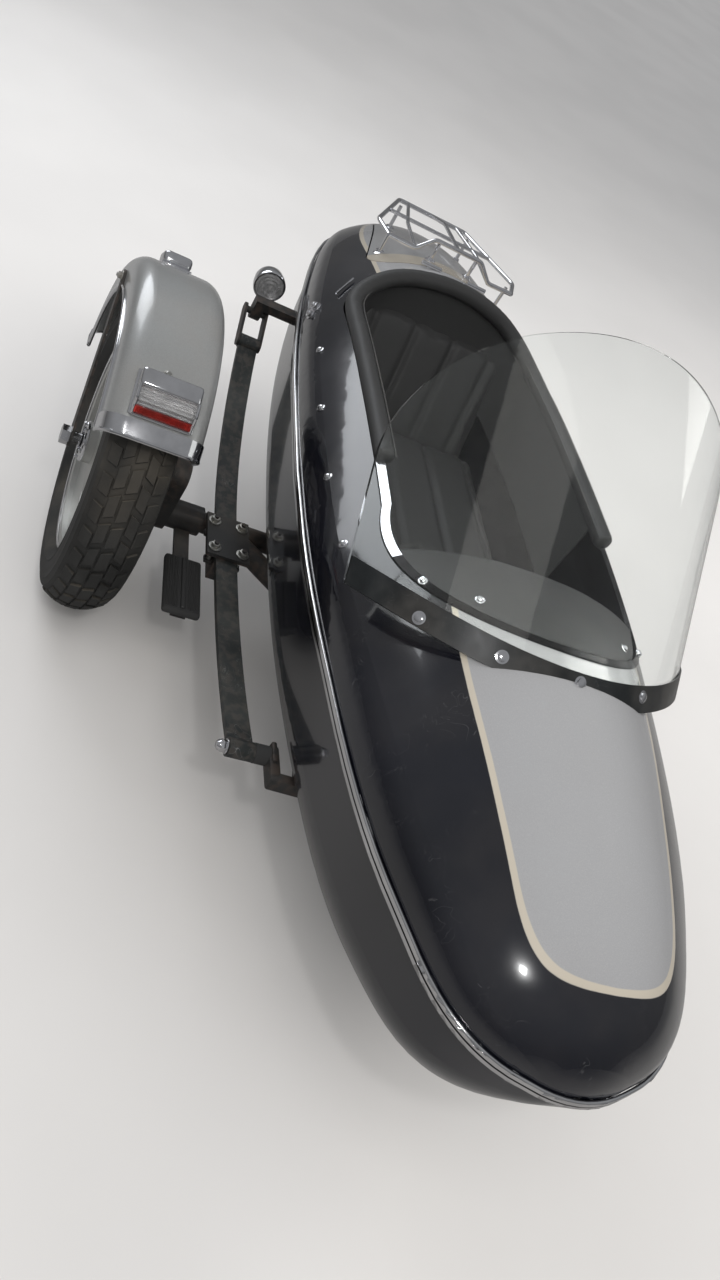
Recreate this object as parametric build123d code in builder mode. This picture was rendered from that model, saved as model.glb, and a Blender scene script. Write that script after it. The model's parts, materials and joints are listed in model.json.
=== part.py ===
"""Classic touring motorcycle sidecar, parked by itself.

Millimetres. The model is laid out in the chassis frame: X runs forward, Y runs left
towards the motorcycle, Z is up. The wheel's middle plane is Y = 0, its axle is above
X = 0 and Z = 0 is the road while the sidecar is in use. At the end every piece is
leaned to the attitude in which the detached sidecar stands, on its tyre and on its two
lower forks, and moved so that the origin is the middle of its footprint.
"""

import os
from math import atan2, cos, hypot, pi, radians, sin, sqrt, tan

from build123d import *

# Attitude at rest, in degrees: the motorcycle side is down
LEAN = 3.5

# Clearance between pieces that lie against each other on curved faces
SEAT_GAP = 0.3

# Wheel and tyre, a 130/90-16
TYRE_RADIUS = 322.5
TYRE_HALF = 66
TYRE_CROWN_RADIUS = 86
TYRE_SHOULDER_HALF = 56
TYRE_BULGE_RADIUS = 258
TYRE_WALL = 10
TYRE_FLANGE_GAP = 2
BEAD_RADIUS = 204
BEAD_HALF = 43
BEAD_WIDTH = 12
RIM_FLANGE_RADIUS = 217
RIM_FLANGE_WIDTH = 7
RIM_LIP = 3
RIM_BACK = 2
RIM_BEND = 3
RIM_WALL = 6
RIM_WELL_RADIUS = 178
RIM_WELL_HALF = 20
WEB_THICKNESS = 9
WEB_DISH = 24
WEB_BITE = 2
HUB_RADIUS = 40
HUB_OUTER_Y = -60
HUB_INNER_Y = 50
SLOT_COUNT = 10
SLOT_PITCH_RADIUS = 132
SLOT_LENGTH = 56
SLOT_WIDTH = 24
SPINDLE_RADIUS = 12.5
SPINDLE_CLEARANCE = 0.05
SPINDLE_OUTER_Y = -93.5
SPINDLE_INNER_Y = 150
DISC_RADIUS = 146
DISC_THICKNESS = 5
DISC_BORE_GAP = 2
NUT_RADIUS = 19
NUT_THICKNESS = 16

# Brake caliper, behind the axle
CALIPER_ANGLE = 195
CALIPER_REACH = 105
CALIPER_BRIDGE = 165
CALIPER_HALF = 48
CALIPER_GAP = 5
CALIPER_CHEEK = 13
CALIPER_FOOT_RADIUS = 26
CALIPER_ARM = 14
CALIPER_COVE = 12

# Body shell
BODY_Y = 617
BODY_WALL = 5
BODY_TALL = 400
BELT_Z = 545
BELT_LAND = 8
BELT_HALF = 10
BELT_PROUD = 7
BELT_GAP = 0.7
BELT_STEPS = 32
BILGE_SLOPE = 4
LEAST_ROUND = 3
CAP_DEPTHS = {"tail": 26, "nose": 19}
CAP_SHARES = (1, 0.94, 0.84, 0.7, 0.5, 0.25)

# Body sections: station x, half width, crown z, keel z, shoulder radius, bilge radius
BODY_STATIONS = (
    (-925, 100, 610, 475, 28, 35),
    (-895, 150, 640, 435, 45, 60),
    (-830, 198, 674, 380, 65, 90),
    (-670, 248, 720, 318, 95, 120),
    (-330, 306, 762, 276, 105, 150),
    (20, 330, 775, 266, 110, 155),
    (400, 331, 775, 266, 110, 155),
    (700, 304, 757, 270, 115, 150),
    (920, 270, 728, 288, 105, 140),
    (1080, 222, 698, 328, 90, 115),
    (1170, 182, 668, 376, 68, 85),
    (1225, 130, 632, 432, 45, 55),
    (1250, 80, 602, 478, 25, 30),
)

SECTION_COUNT = 23
SECTION_CROWDING = 0.7

# Cockpit opening and its trim
COCKPIT_REAR_X = -430
COCKPIT_FRONT_X = 690
COCKPIT_HALF = 256
COCKPIT_REAR_CORNER = 150
COCKPIT_CORNER_X = 380
ROLL_FRONT_X = 250
ROLL_WIDTH = 46
ROLL_ABOVE = 20
ROLL_BELOW = 22
TRIM_WIDTH = 12
TRIM_ABOVE = 3
FLAP_REAR_X = 480
ROLL_STATION = 5
TRIM_STATION = 16

# Trunk lid and its rack
TRUNK_FRONT_X = -492
TRUNK_REAR_X = -836
TRUNK_HALF_FRONT = 196
TRUNK_HALF_REAR = 112
TRUNK_CORNER = 40
LID_GAP = 3
HINGE_SPREAD = 120
HINGE_RADIUS = 5
HINGE_LENGTH = 50
HINGE_AHEAD = 10
HINGE_SINK = 4
RACK_RADIUS = 6
RACK_FRONT_X = -530
RACK_REAR_X = -800
RACK_HALF_FRONT = 176
RACK_HALF_REAR = 100
RACK_Z = 790
RACK_CORNER = 30
RACK_LEGS = ((-560, 164), (-770, 108))

# Seat, mat and lining
SEAT_REAR_X = -290
SEAT_FRONT_X = 210
SEAT_HALF = 228
SEAT_Z = 360
SEAT_THICKNESS = 110
SEAT_CORNER = 60
SEAT_ROUND = 25
SEAT_BOX_INSET = 20
SEAT_BOX_HALF = 125
SEAT_BOX_Z = 278.5
BACK_LEAN = 20
BACK_AHEAD = 6.8
BACK_HEIGHT = 350
BACK_HALF = 225
BACK_THICKNESS = 85
BACK_CORNER = 90
MAT_REAR_X = 230
MAT_FRONT_X = 640
MAT_Z = 273.8
MAT_HALF = 120
MAT_CORNER = 30
MAT_THICKNESS = 6

# Windshield: a bent sheet whose straight generators lean back
GLASS_FOOT_X = 753
GLASS_FOOT_Z = 737
GLASS_RISE = 41.5
GLASS_BEND_RADIUS = 400
GLASS_THICKNESS = 4
GLASS_HEIGHT = 549
GLASS_HALF = 333
GLASS_DROP = 60
GLASS_DEPTH = 230
GLASS_SHOULDER = 240
GLASS_SHOULDER_FALL = 259
GLASS_END_RISE = 90
STRIP_HEIGHT = 36
STRIP_BELOW = 8
STRIP_THICKNESS = 3

# Chassis tubes
TUBE_RADIUS = 23
TUBE_WALL = 3
RAIL_Y = 1045
RAIL_Z = 140
RAIL_REAR_X = -330
RAIL_FRONT_X = 840
CROSS_X = -20
CROSS_Z = 205
CROSS_START_Y = 165
CROSS_BEND_START_Y = 520
CROSS_BEND_END_Y = 800
CROSS_BEND_RADIUS = 300
DIAGONAL_START_Y = 285
DIAGONAL_END_X = 640
DIAGONAL_TRIM = 4

# Axle casting
CASTING_Y = 104
CASTING_THICKNESS = 46
CASTING_BOSS_RADIUS = 34
CASTING_FOOT_RADIUS = 40
SOCKET_RADIUS = 32
SOCKET_END_Y = 225

# Forks and lugs on the motorcycle side
FORKS = {"front_fork": (790, 1075), "rear_fork": (-170, 1085)}
FORK_WIDTH = 60
FORK_GAP = 30
FORK_BORE_RADIUS = 8
FORK_EYE_RADIUS = 24
CLAMP_RADIUS = 34
EAR_CLEARANCE = 6
LUGS = {"front_strut_lug": (420, 203), "rear_strut_lug": (-75, 213)}
LUG_WIDTH = 44
LUG_GAP = 20
LUG_RADIUS = 18
LUG_BORE_RADIUS = 6.5

# Leaf springs and what carries the body
SPRING_Y = 355
SPRING_HALF = 23
SPRING_THICKNESS = 12
SPRING_MID_X = 85
SPRING_MID_Z = 258
SPRING_REAR_X = -475
SPRING_REAR_Z = 395
SPRING_FRONT_X = 655
SPRING_FRONT_Z = 315
EYE_RADIUS = 17
PIN_RADIUS = 8
SADDLE_HALF_X = 62
SADDLE_HALF_Y = 46
SADDLE_PLATE = 9
BOLT_X = 40
BOLT_Y = 30
BOLT_RADIUS = 5
BOLT_NUT_HEIGHT = 9
BOLT_END = 5
SHACKLE_X = -545
SHACKLE_Z = 440
SHACKLE_THICKNESS = 6
SHACKLE_HALF = 14
BRACKET_HALF = 12
BRACKET_RISE = 36
BRACKET_BAR = 20
BRACKET_REACH = 160
PIN_END = 14
ARM_OFFSET = 70
ARM_LENGTH = 90
ARM_WIDTH = 40

# Step
STEP_X = 192
STEP_Y = 190
STEP_Z = 214
STEP_LENGTH = 158
STEP_WIDTH = 78
STEP_THICKNESS = 20
STEP_CORNER = 16
STEP_RIB = 10
STEP_RIB_HEIGHT = 5
STEP_ARM_HALF = 16
STEP_ARM_THICKNESS = 10
STEP_ARM_SHORT = 10

# Fender
FENDER_RADIUS = 370
FENDER_HALF = 88
FENDER_SKIRT = 68
FENDER_ROUND = 38
FENDER_WALL = 3
FENDER_FRONT_ANGLE = 42
FENDER_REAR_ANGLE = 176
FENDER_END_CUT = 2
STAY_THICKNESS = 5
STAY_HALF = 13
STAY_EYE_RIM = 8
STAY_ANGLE = 118
STAY_RADIUS = 318
LAMP_ANGLE = 53
LAMP_HALF = 56
LAMP_SWEEP = 12
LAMP_HEIGHT = 36
REAR_LAMP_ANGLE = 128
REAR_LAMP_HALF = 30
REAR_LAMP_SWEEP = 14
REAR_LAMP_HEIGHT = 30
LAMP_CORNER = 8

# Turn lamp on the rear spring bracket
TURN_X = -655
TURN_Y = 288
TURN_Z = 470
TURN_RADIUS = 40
TURN_LENGTH = 86
TURN_STEM_RADIUS = 7

axle_axis = Axis((0, 0, TYRE_RADIUS), (0, 1, 0))
sides = {"right": BODY_Y - SPRING_Y, "left": BODY_Y + SPRING_Y}


def cross_plane(x, y=0.0):
    """Plane across the chassis, drawn in Y and Z, whose normal points forward."""
    return Plane(origin=(x, y, 0), x_dir=(0, 1, 0), z_dir=(1, 0, 0))


def side_plane(y):
    """Plane along the chassis, drawn in X and Z, whose normal points right."""
    return Plane(origin=(0, y, 0), x_dir=(1, 0, 0), z_dir=(0, -1, 0))


def wheel_plane(angle):
    """Plane through the axle, drawn in Y and radius, at an angle up from forward."""
    turn = radians(angle)
    return Plane(
        origin=(0, 0, TYRE_RADIUS),
        x_dir=(0, 1, 0),
        z_dir=(sin(turn), 0, -cos(turn)),
    )


def round_bar(start, end, radius):
    """Solid round bar from one point to another."""
    with BuildPart() as bar:
        with BuildSketch(Plane(origin=start, z_dir=Vector(end) - Vector(start))):
            Circle(radius)
        extrude(amount=(Vector(end) - Vector(start)).length)
    return bar.part


def arch_points(half, land_z, crown_z, shoulder):
    """Middle and inner end of the shoulder arc of a two-radius arch."""
    a = half - shoulder
    b = land_z - crown_z
    crown = (shoulder**2 - a**2 - b**2) / (2 * (b + shoulder))
    centre_z = crown_z - crown
    angle = atan2(a, land_z - centre_z)
    end = (crown * sin(angle), centre_z + crown * cos(angle))
    side = pi / 4 - angle / 2
    middle = (a + shoulder * cos(side), land_z + shoulder * sin(side))
    return middle, end


def bilge_points(half, keel_z, radius):
    """Start, middle and end of the arc between the tub's floor and its side."""
    slope = radians(BILGE_SLOPE)
    corner_y = half - (BELT_Z - keel_z) * tan(slope)
    run = radius * tan((pi / 2 - slope) / 2)
    start = (corner_y - run, keel_z)
    end = (corner_y + run * sin(slope), keel_z + run * cos(slope))
    reach = hypot(run, radius)
    middle = (start[0] + radius * run / reach, keel_z + radius - radius**2 / reach)
    return start, middle, end


def flip(point):
    """The same sketch point on the other side of the middle line."""
    return (-point[0], point[1])


def deck_arch(half, crown_z, shoulder):
    """Lines from one end of the belt up over the deck to the other."""
    land_z = BELT_Z + BELT_LAND
    middle, end = arch_points(half, land_z, crown_z, shoulder)
    Line((half, BELT_Z), (half, land_z))
    ThreePointArc((half, land_z), middle, end)
    ThreePointArc(end, (0, crown_z), flip(end))
    ThreePointArc(flip(end), flip(middle), (-half, land_z))
    Line((-half, land_z), (-half, BELT_Z))


def tub_bowl(half, keel_z, bilge):
    """Lines from one end of the belt down under the floor to the other."""
    start, middle, end = bilge_points(half, keel_z, bilge)
    Line((half, BELT_Z), end)
    ThreePointArc(end, middle, start)
    Line(start, flip(start))
    ThreePointArc(flip(start), flip(middle), flip(end))
    Line(flip(end), (-half, BELT_Z))


def column_slope(index, column):
    """Rate of change along X of one column of the table, at one of its rows."""
    before = BODY_STATIONS[max(index - 1, 0)]
    after = BODY_STATIONS[min(index + 1, len(BODY_STATIONS) - 1)]
    return (after[column] - before[column]) / (after[0] - before[0])


def body_station(x):
    """A row of the body's table at any x, along smooth curves through the table."""
    index = 0
    while index < len(BODY_STATIONS) - 2 and x > BODY_STATIONS[index + 1][0]:
        index += 1
    before, after = BODY_STATIONS[index], BODY_STATIONS[index + 1]
    span = after[0] - before[0]
    t = (x - before[0]) / span
    row = [x]
    for column in range(1, len(before)):
        start_pull = column_slope(index, column) * span * t * (1 - t) ** 2
        end_pull = column_slope(index + 1, column) * span * t * t * (t - 1)
        share = t * t * (3 - 2 * t)
        row.append(before[column] * (1 - share) + after[column] * share + start_pull + end_pull)
    return row


def crowded(share):
    """A share from 0 to 1 of the body's length, moved so that even steps crowd at both ends."""
    return share - SECTION_CROWDING * sin(2 * pi * share) / (2 * pi)


def section_x(step):
    """Place of one of the lofts' sections: they lie closer together at both ends."""
    share = crowded(step / (SECTION_COUNT - 1))
    return BODY_STATIONS[0][0] + share * (BODY_STATIONS[-1][0] - BODY_STATIONS[0][0])


SECTIONS = [body_station(section_x(step)) for step in range(SECTION_COUNT)]


def station_stretch(index, column):
    """How much longer an inset measured across is than one square to the skin."""
    before = SECTIONS[max(index - 1, 0)]
    after = SECTIONS[min(index + 1, SECTION_COUNT - 1)]
    return hypot(1, (after[column] - before[column]) / (after[0] - before[0]))


def draw_half(index, inset, upper):
    """Draw one half of a section drawn in by inset, and return its half width."""
    x, half, crown_z, keel_z, shoulder, bilge = SECTIONS[index]
    half -= inset * station_stretch(index, 1)
    if upper:
        deck_arch(half, crown_z - inset * station_stretch(index, 2), max(shoulder - inset, LEAST_ROUND))
    else:
        tub_bowl(half, keel_z + inset * station_stretch(index, 3), max(bilge - inset, LEAST_ROUND))
    return half


def skin(outer, inner, upper, first=0, last=SECTION_COUNT - 1):
    """Upper or lower skin of the body between two insets, open at both ends."""
    with BuildPart() as shell:
        for index in range(first, last + 1):
            with BuildSketch(cross_plane(SECTIONS[index][0], BODY_Y)):
                with BuildLine():
                    wide = draw_half(index, outer, upper)
                    narrow = draw_half(index, inner, upper)
                    Line((wide, BELT_Z), (narrow, BELT_Z))
                    Line((-wide, BELT_Z), (-narrow, BELT_Z))
                make_face()
        loft()
    return shell.part


def half_form(inset, upper):
    """Upper or lower half of the body as one solid, drawn in by inset."""
    with BuildPart() as form:
        for index in range(SECTION_COUNT):
            with BuildSketch(cross_plane(SECTIONS[index][0], BODY_Y)):
                with BuildLine():
                    half = draw_half(index, inset, upper)
                    Line((half, BELT_Z), (-half, BELT_Z))
                make_face()
        loft()
    return form.part


def dome_depth(share):
    """How far out, as a share of its depth, a domed end has shrunk to a share of its size."""
    return 1 - share**2


def end_cap(index, outward):
    """Domed wall that closes the body at one end, on the end section's outline."""
    with BuildSketch(cross_plane(SECTIONS[index][0], BODY_Y)) as outline:
        with BuildLine():
            draw_half(index, 0, True)
            draw_half(index, 0, False)
        make_face()
    faces = []
    for share in CAP_SHARES:
        shrunk = outline.sketch.face().scale(share)
        faces.append(shrunk.moved(Location((outward * dome_depth(share), 0, BELT_Z * (1 - share)))))
    with BuildPart() as cap:
        loft(faces)
    return cap.part


def cockpit_prism(inset, rear_x, front_x):
    """Upright prism over the cockpit's outline, cut to a stretch of its length."""
    left, right = BODY_Y + COCKPIT_HALF - inset, BODY_Y - COCKPIT_HALF + inset
    rear, front = COCKPIT_REAR_X + inset, COCKPIT_FRONT_X - inset
    corner = COCKPIT_REAR_CORNER
    bend = corner * (1 - cos(pi / 4))
    with BuildPart() as prism:
        with BuildSketch(Plane.XY.offset(BELT_Z + BELT_LAND)):
            with BuildLine():
                ThreePointArc((COCKPIT_CORNER_X, left), (front, BODY_Y), (COCKPIT_CORNER_X, right))
                Line((COCKPIT_CORNER_X, right), (rear + corner, right))
                ThreePointArc((rear + corner, right), (rear + bend, right + bend), (rear, right + corner))
                Line((rear, right + corner), (rear, left - corner))
                ThreePointArc((rear, left - corner), (rear + bend, left - bend), (rear + corner, left))
                Line((rear + corner, left), (COCKPIT_CORNER_X, left))
            make_face()
        extrude(amount=BODY_TALL)
        with Locations((rear_x, BODY_Y, BELT_Z)):
            Box(
                front_x - rear_x,
                3 * COCKPIT_HALF,
                3 * BODY_TALL,
                align=(Align.MIN, Align.CENTER, Align.CENTER),
                mode=Mode.INTERSECT,
            )
    return prism.part


def trunk_prism(inset):
    """Upright prism over the trunk lid's outline."""
    with BuildPart() as prism:
        with BuildSketch(Plane.XY.offset(BELT_Z + BELT_LAND)):
            with BuildLine():
                FilletPolyline(
                    (TRUNK_FRONT_X - inset, BODY_Y + TRUNK_HALF_FRONT - inset),
                    (TRUNK_REAR_X + inset, BODY_Y + TRUNK_HALF_REAR - inset),
                    (TRUNK_REAR_X + inset, BODY_Y - TRUNK_HALF_REAR + inset),
                    (TRUNK_FRONT_X - inset, BODY_Y - TRUNK_HALF_FRONT + inset),
                    radius=TRUNK_CORNER - inset,
                    close=True,
                )
            make_face()
        extrude(amount=BODY_TALL)
    return prism.part


deck_clear = half_form(-SEAT_GAP, True)
tub_clear = half_form(-SEAT_GAP, False)
pieces = []

# Shells
with BuildPart() as tub:
    add(skin(0, BODY_WALL, False))
tub.part.label = "tub"
pieces.append(tub.part)

with BuildPart() as deck:
    add(skin(0, BODY_WALL, True))
    add(cockpit_prism(0, COCKPIT_REAR_X, COCKPIT_FRONT_X), mode=Mode.SUBTRACT)
    add(trunk_prism(-LID_GAP), mode=Mode.SUBTRACT)
deck.part.label = "deck"
pieces.append(deck.part)

with BuildPart() as trunk_lid:
    add(skin(0, BODY_WALL, True))
    add(trunk_prism(0), mode=Mode.INTERSECT)
trunk_lid.part.label = "trunk_lid"
pieces.append(trunk_lid.part)

end_caps = []
for index, outward in ((0, -CAP_DEPTHS["tail"]), (SECTION_COUNT - 1, CAP_DEPTHS["nose"])):
    end_caps.append(end_cap(index, outward))
body_ends = Compound(end_caps, label="body_ends")
pieces.append(body_ends)

belt_edge = tub_clear.edges().filter_by_position(Axis.Z, BELT_Z - 1, BELT_Z + 1).sort_by(Axis.Y)[-1]


def dome_points(index, outward, outset):
    """Plan points of one end's dome at the belt, from near the side to near its tip."""
    x, half = SECTIONS[index][:2]
    points = []
    for share in CAP_SHARES[1:]:
        slope = 2 * abs(outward) * share
        reach = outset / hypot(half, slope)
        points.append((x + outward * dome_depth(share) + reach * half * outward / abs(outward),
                       BODY_Y + half * share + reach * slope))
    return points


def belt_sheet(outset):
    """Flat sheet with the outline of the body's belt, set out by outset."""
    side = []
    for step in range(BELT_STEPS + 1):
        share = crowded(step / BELT_STEPS)
        along = belt_edge % share
        out = Vector(-along.Y, along.X, 0) * (1 if along.X > 0 else -1)
        point = belt_edge @ share + out * outset
        side.append((point.X, point.Y))
    side.sort()
    tail = dome_points(0, -CAP_DEPTHS["tail"], outset)
    nose = dome_points(SECTION_COUNT - 1, CAP_DEPTHS["nose"], outset)
    tips = [
        (SECTIONS[0][0] - CAP_DEPTHS["tail"] - outset, BODY_Y),
        (SECTIONS[-1][0] + CAP_DEPTHS["nose"] + outset, BODY_Y),
    ]
    left = list(reversed(tail)) + side + nose
    right = [(x, 2 * BODY_Y - y) for x, y in reversed(left)]
    with BuildSketch(Plane.XY.offset(BELT_Z - BELT_HALF)) as sheet:
        with BuildLine():
            Spline(tips[0], *left, tips[1], *right, periodic=True)
        make_face()
    return sheet.sketch


with BuildPart() as belt_moulding:
    extrude(belt_sheet(BELT_PROUD), amount=2 * BELT_HALF)
    extrude(belt_sheet(BELT_GAP), amount=2 * BELT_HALF, mode=Mode.SUBTRACT)
belt_moulding.part.label = "belt_moulding"
pieces.append(belt_moulding.part)

# Cockpit trim
with BuildPart() as coaming_roll:
    add(skin(-ROLL_ABOVE, ROLL_BELOW, True, ROLL_STATION, TRIM_STATION))
    add(cockpit_prism(SEAT_GAP, COCKPIT_REAR_X, ROLL_FRONT_X), mode=Mode.INTERSECT)
    add(cockpit_prism(ROLL_WIDTH, COCKPIT_REAR_X, COCKPIT_FRONT_X), mode=Mode.SUBTRACT)
coaming_roll.part.label = "coaming_roll"
pieces.append(coaming_roll.part)

with BuildPart() as cowl_trim:
    add(skin(-TRIM_ABOVE, BODY_WALL, True, ROLL_STATION, TRIM_STATION))
    add(cockpit_prism(SEAT_GAP, ROLL_FRONT_X + SEAT_GAP, COCKPIT_FRONT_X), mode=Mode.INTERSECT)
    add(cockpit_prism(TRIM_WIDTH, COCKPIT_REAR_X, COCKPIT_FRONT_X), mode=Mode.SUBTRACT)
cowl_trim.part.label = "cowl_trim"
pieces.append(cowl_trim.part)

with BuildPart() as dash_flap:
    add(skin(0, BODY_WALL, True, ROLL_STATION, TRIM_STATION))
    add(cockpit_prism(TRIM_WIDTH + SEAT_GAP, FLAP_REAR_X, COCKPIT_FRONT_X), mode=Mode.INTERSECT)
dash_flap.part.label = "dash_flap"
pieces.append(dash_flap.part)

with BuildPart() as floor_mat:
    with BuildSketch(Plane.XY.offset(MAT_Z)):
        with Locations(((MAT_REAR_X + MAT_FRONT_X) / 2, BODY_Y)):
            RectangleRounded(MAT_FRONT_X - MAT_REAR_X, 2 * MAT_HALF, MAT_CORNER)
    extrude(amount=MAT_THICKNESS)
floor_mat.part.label = "floor_mat"
pieces.append(floor_mat.part)

# Seat
with BuildPart() as seat_box:
    with Locations(((SEAT_REAR_X + SEAT_FRONT_X) / 2, BODY_Y, SEAT_Z)):
        Box(
            SEAT_FRONT_X - SEAT_REAR_X - 2 * SEAT_BOX_INSET,
            2 * SEAT_BOX_HALF,
            SEAT_Z - SEAT_BOX_Z,
            align=(Align.CENTER, Align.CENTER, Align.MAX),
        )
seat_box.part.label = "seat_box"
pieces.append(seat_box.part)

with BuildPart() as seat_cushion:
    with BuildSketch(Plane.XY.offset(SEAT_Z)):
        with Locations(((SEAT_REAR_X + SEAT_FRONT_X) / 2, BODY_Y)):
            RectangleRounded(SEAT_FRONT_X - SEAT_REAR_X, 2 * SEAT_HALF, SEAT_CORNER)
    extrude(amount=SEAT_THICKNESS)
    fillet(seat_cushion.faces().sort_by(Axis.Z)[-1].edges(), SEAT_ROUND)
seat_cushion.part.label = "seat_cushion"
pieces.append(seat_cushion.part)

back_lean = radians(BACK_LEAN)
back_plane = Plane(
    origin=(SEAT_REAR_X - SEAT_GAP + BACK_AHEAD, BODY_Y, SEAT_Z),
    x_dir=(0, 1, 0),
    z_dir=(cos(back_lean), 0, sin(back_lean)),
)
with BuildPart() as seat_back:
    with BuildSketch(back_plane):
        with Locations((0, BACK_HEIGHT / 2)):
            RectangleRounded(2 * BACK_HALF, BACK_HEIGHT, BACK_CORNER)
    extrude(amount=-BACK_THICKNESS)
    fillet(seat_back.faces().sort_by(Axis.X)[-1].edges(), SEAT_ROUND)
seat_back.part.label = "seat_back"
pieces.append(seat_back.part)

# Windshield
glass_rise = radians(GLASS_RISE)
glass_up = Vector(-cos(glass_rise), 0, sin(glass_rise))
glass_out = Vector(sin(glass_rise), 0, cos(glass_rise))
glass_foot = Vector(GLASS_FOOT_X, BODY_Y, GLASS_FOOT_Z)


def bent_sheet(front, thickness, lower, upper):
    """Cylindrical sheet between two curved edges, its front face at an offset."""
    radius = GLASS_BEND_RADIUS + front
    with BuildPart() as sheet:
        with BuildSketch(Plane(origin=glass_foot - glass_up * GLASS_DROP, x_dir=(0, 1, 0), z_dir=glass_up)):
            with Locations((0, GLASS_BEND_RADIUS)):
                Circle(radius)
                Circle(radius - thickness, mode=Mode.SUBTRACT)
        extrude(amount=GLASS_DROP + GLASS_HEIGHT)
        with BuildSketch(Plane(origin=glass_foot + glass_out * GLASS_DROP, x_dir=(0, 1, 0), z_dir=glass_out)):
            with BuildLine():
                start = (GLASS_HALF, GLASS_END_RISE + lower)
                ThreePointArc(flip(start), (0, lower), start)
                if upper is None:
                    land = (GLASS_HALF, GLASS_HEIGHT - GLASS_SHOULDER_FALL)
                    middle, end = arch_points(GLASS_HALF, land[1], GLASS_HEIGHT, GLASS_SHOULDER)
                    Line(start, land)
                    ThreePointArc(land, middle, end)
                    ThreePointArc(end, (0, GLASS_HEIGHT), flip(end))
                    ThreePointArc(flip(end), flip(middle), flip(land))
                    Line(flip(land), flip(start))
                else:
                    top = (GLASS_HALF, GLASS_END_RISE + upper)
                    Line(start, top)
                    ThreePointArc(top, (0, upper), flip(top))
                    Line(flip(top), flip(start))
            make_face()
        extrude(amount=-(GLASS_DROP + GLASS_DEPTH), mode=Mode.INTERSECT)
        add(deck_clear, mode=Mode.SUBTRACT)
    return sheet.part


windshield = bent_sheet(0, GLASS_THICKNESS, 0, None)
windshield.label = "windshield"
pieces.append(windshield)

windshield_strip = bent_sheet(SEAT_GAP + STRIP_THICKNESS, STRIP_THICKNESS, -STRIP_BELOW, STRIP_HEIGHT)
windshield_strip.label = "windshield_strip"
pieces.append(windshield_strip)

# Lid hinges and rack
hinge_x = TRUNK_FRONT_X + HINGE_AHEAD
hinge_z = body_station(hinge_x)[2] + HINGE_RADIUS - HINGE_SINK
with BuildPart() as lid_hinges:
    with BuildSketch(side_plane(BODY_Y + HINGE_SPREAD / 2 - HINGE_LENGTH / 2)):
        with Locations((hinge_x, hinge_z)):
            Circle(HINGE_RADIUS)
    extrude(amount=-HINGE_LENGTH)
    with BuildSketch(side_plane(BODY_Y - HINGE_SPREAD / 2 - HINGE_LENGTH / 2)):
        with Locations((hinge_x, hinge_z)):
            Circle(HINGE_RADIUS)
    extrude(amount=-HINGE_LENGTH)
    add(deck_clear, mode=Mode.SUBTRACT)
lid_hinges.part.label = "lid_hinges"
pieces.append(lid_hinges.part)

with BuildPart() as luggage_rack:
    with BuildLine() as loop:
        FilletPolyline(
            (RACK_FRONT_X, BODY_Y + RACK_HALF_FRONT, RACK_Z),
            (RACK_REAR_X, BODY_Y + RACK_HALF_REAR, RACK_Z),
            (RACK_REAR_X, BODY_Y - RACK_HALF_REAR, RACK_Z),
            (RACK_FRONT_X, BODY_Y - RACK_HALF_FRONT, RACK_Z),
            radius=RACK_CORNER,
            close=True,
        )
    with BuildSketch(Plane(origin=loop.wire() @ 0, z_dir=loop.wire() % 0)):
        Circle(RACK_RADIUS)
    sweep(path=loop.wire())
    for x, half in RACK_LEGS:
        for side in (-1, 1):
            with Locations((x, BODY_Y + side * half, RACK_Z)):
                Cylinder(RACK_RADIUS, BODY_TALL, align=(Align.CENTER, Align.CENTER, Align.MAX))
    add(deck_clear, mode=Mode.SUBTRACT)
    split(bisect_by=Plane.XY.offset(BELT_Z), keep=Keep.TOP)
luggage_rack.part.label = "luggage_rack"
pieces.append(luggage_rack.part)

# Wheel
with BuildPart() as tyre:
    with BuildSketch(wheel_plane(90)):
        with BuildLine():
            drop = TYRE_CROWN_RADIUS - sqrt(TYRE_CROWN_RADIUS**2 - TYRE_SHOULDER_HALF**2)
            shoulder = (TYRE_SHOULDER_HALF, TYRE_RADIUS - drop)
            bead = (BEAD_HALF, BEAD_RADIUS)
            heel = (BEAD_HALF, RIM_FLANGE_RADIUS + TYRE_FLANGE_GAP)
            bulge = (TYRE_HALF, TYRE_BULGE_RADIUS)
            ThreePointArc(shoulder, (0, TYRE_RADIUS), flip(shoulder))
            ThreePointArc(flip(shoulder), flip(bulge), flip(heel))
            Line(flip(heel), flip(bead))
            toe = (BEAD_HALF - BEAD_WIDTH, BEAD_RADIUS)
            inner_heel = (BEAD_HALF - BEAD_WIDTH, RIM_FLANGE_RADIUS + TYRE_FLANGE_GAP)
            Line(flip(bead), flip(toe))
            Line(flip(toe), flip(inner_heel))
            inner_bulge = (TYRE_HALF - TYRE_WALL, TYRE_BULGE_RADIUS)
            inner_shoulder = (TYRE_SHOULDER_HALF - TYRE_WALL, TYRE_RADIUS - drop - TYRE_WALL)
            ThreePointArc(flip(inner_heel), flip(inner_bulge), flip(inner_shoulder))
            ThreePointArc(flip(inner_shoulder), (0, TYRE_RADIUS - TYRE_WALL), inner_shoulder)
            ThreePointArc(inner_shoulder, inner_bulge, inner_heel)
            Line(inner_heel, toe)
            Line(toe, bead)
            Line(bead, heel)
            ThreePointArc(heel, bulge, shoulder)
        make_face()
    revolve(axis=axle_axis)
tyre.part.label = "tyre"
pieces.append(tyre.part)

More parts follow.
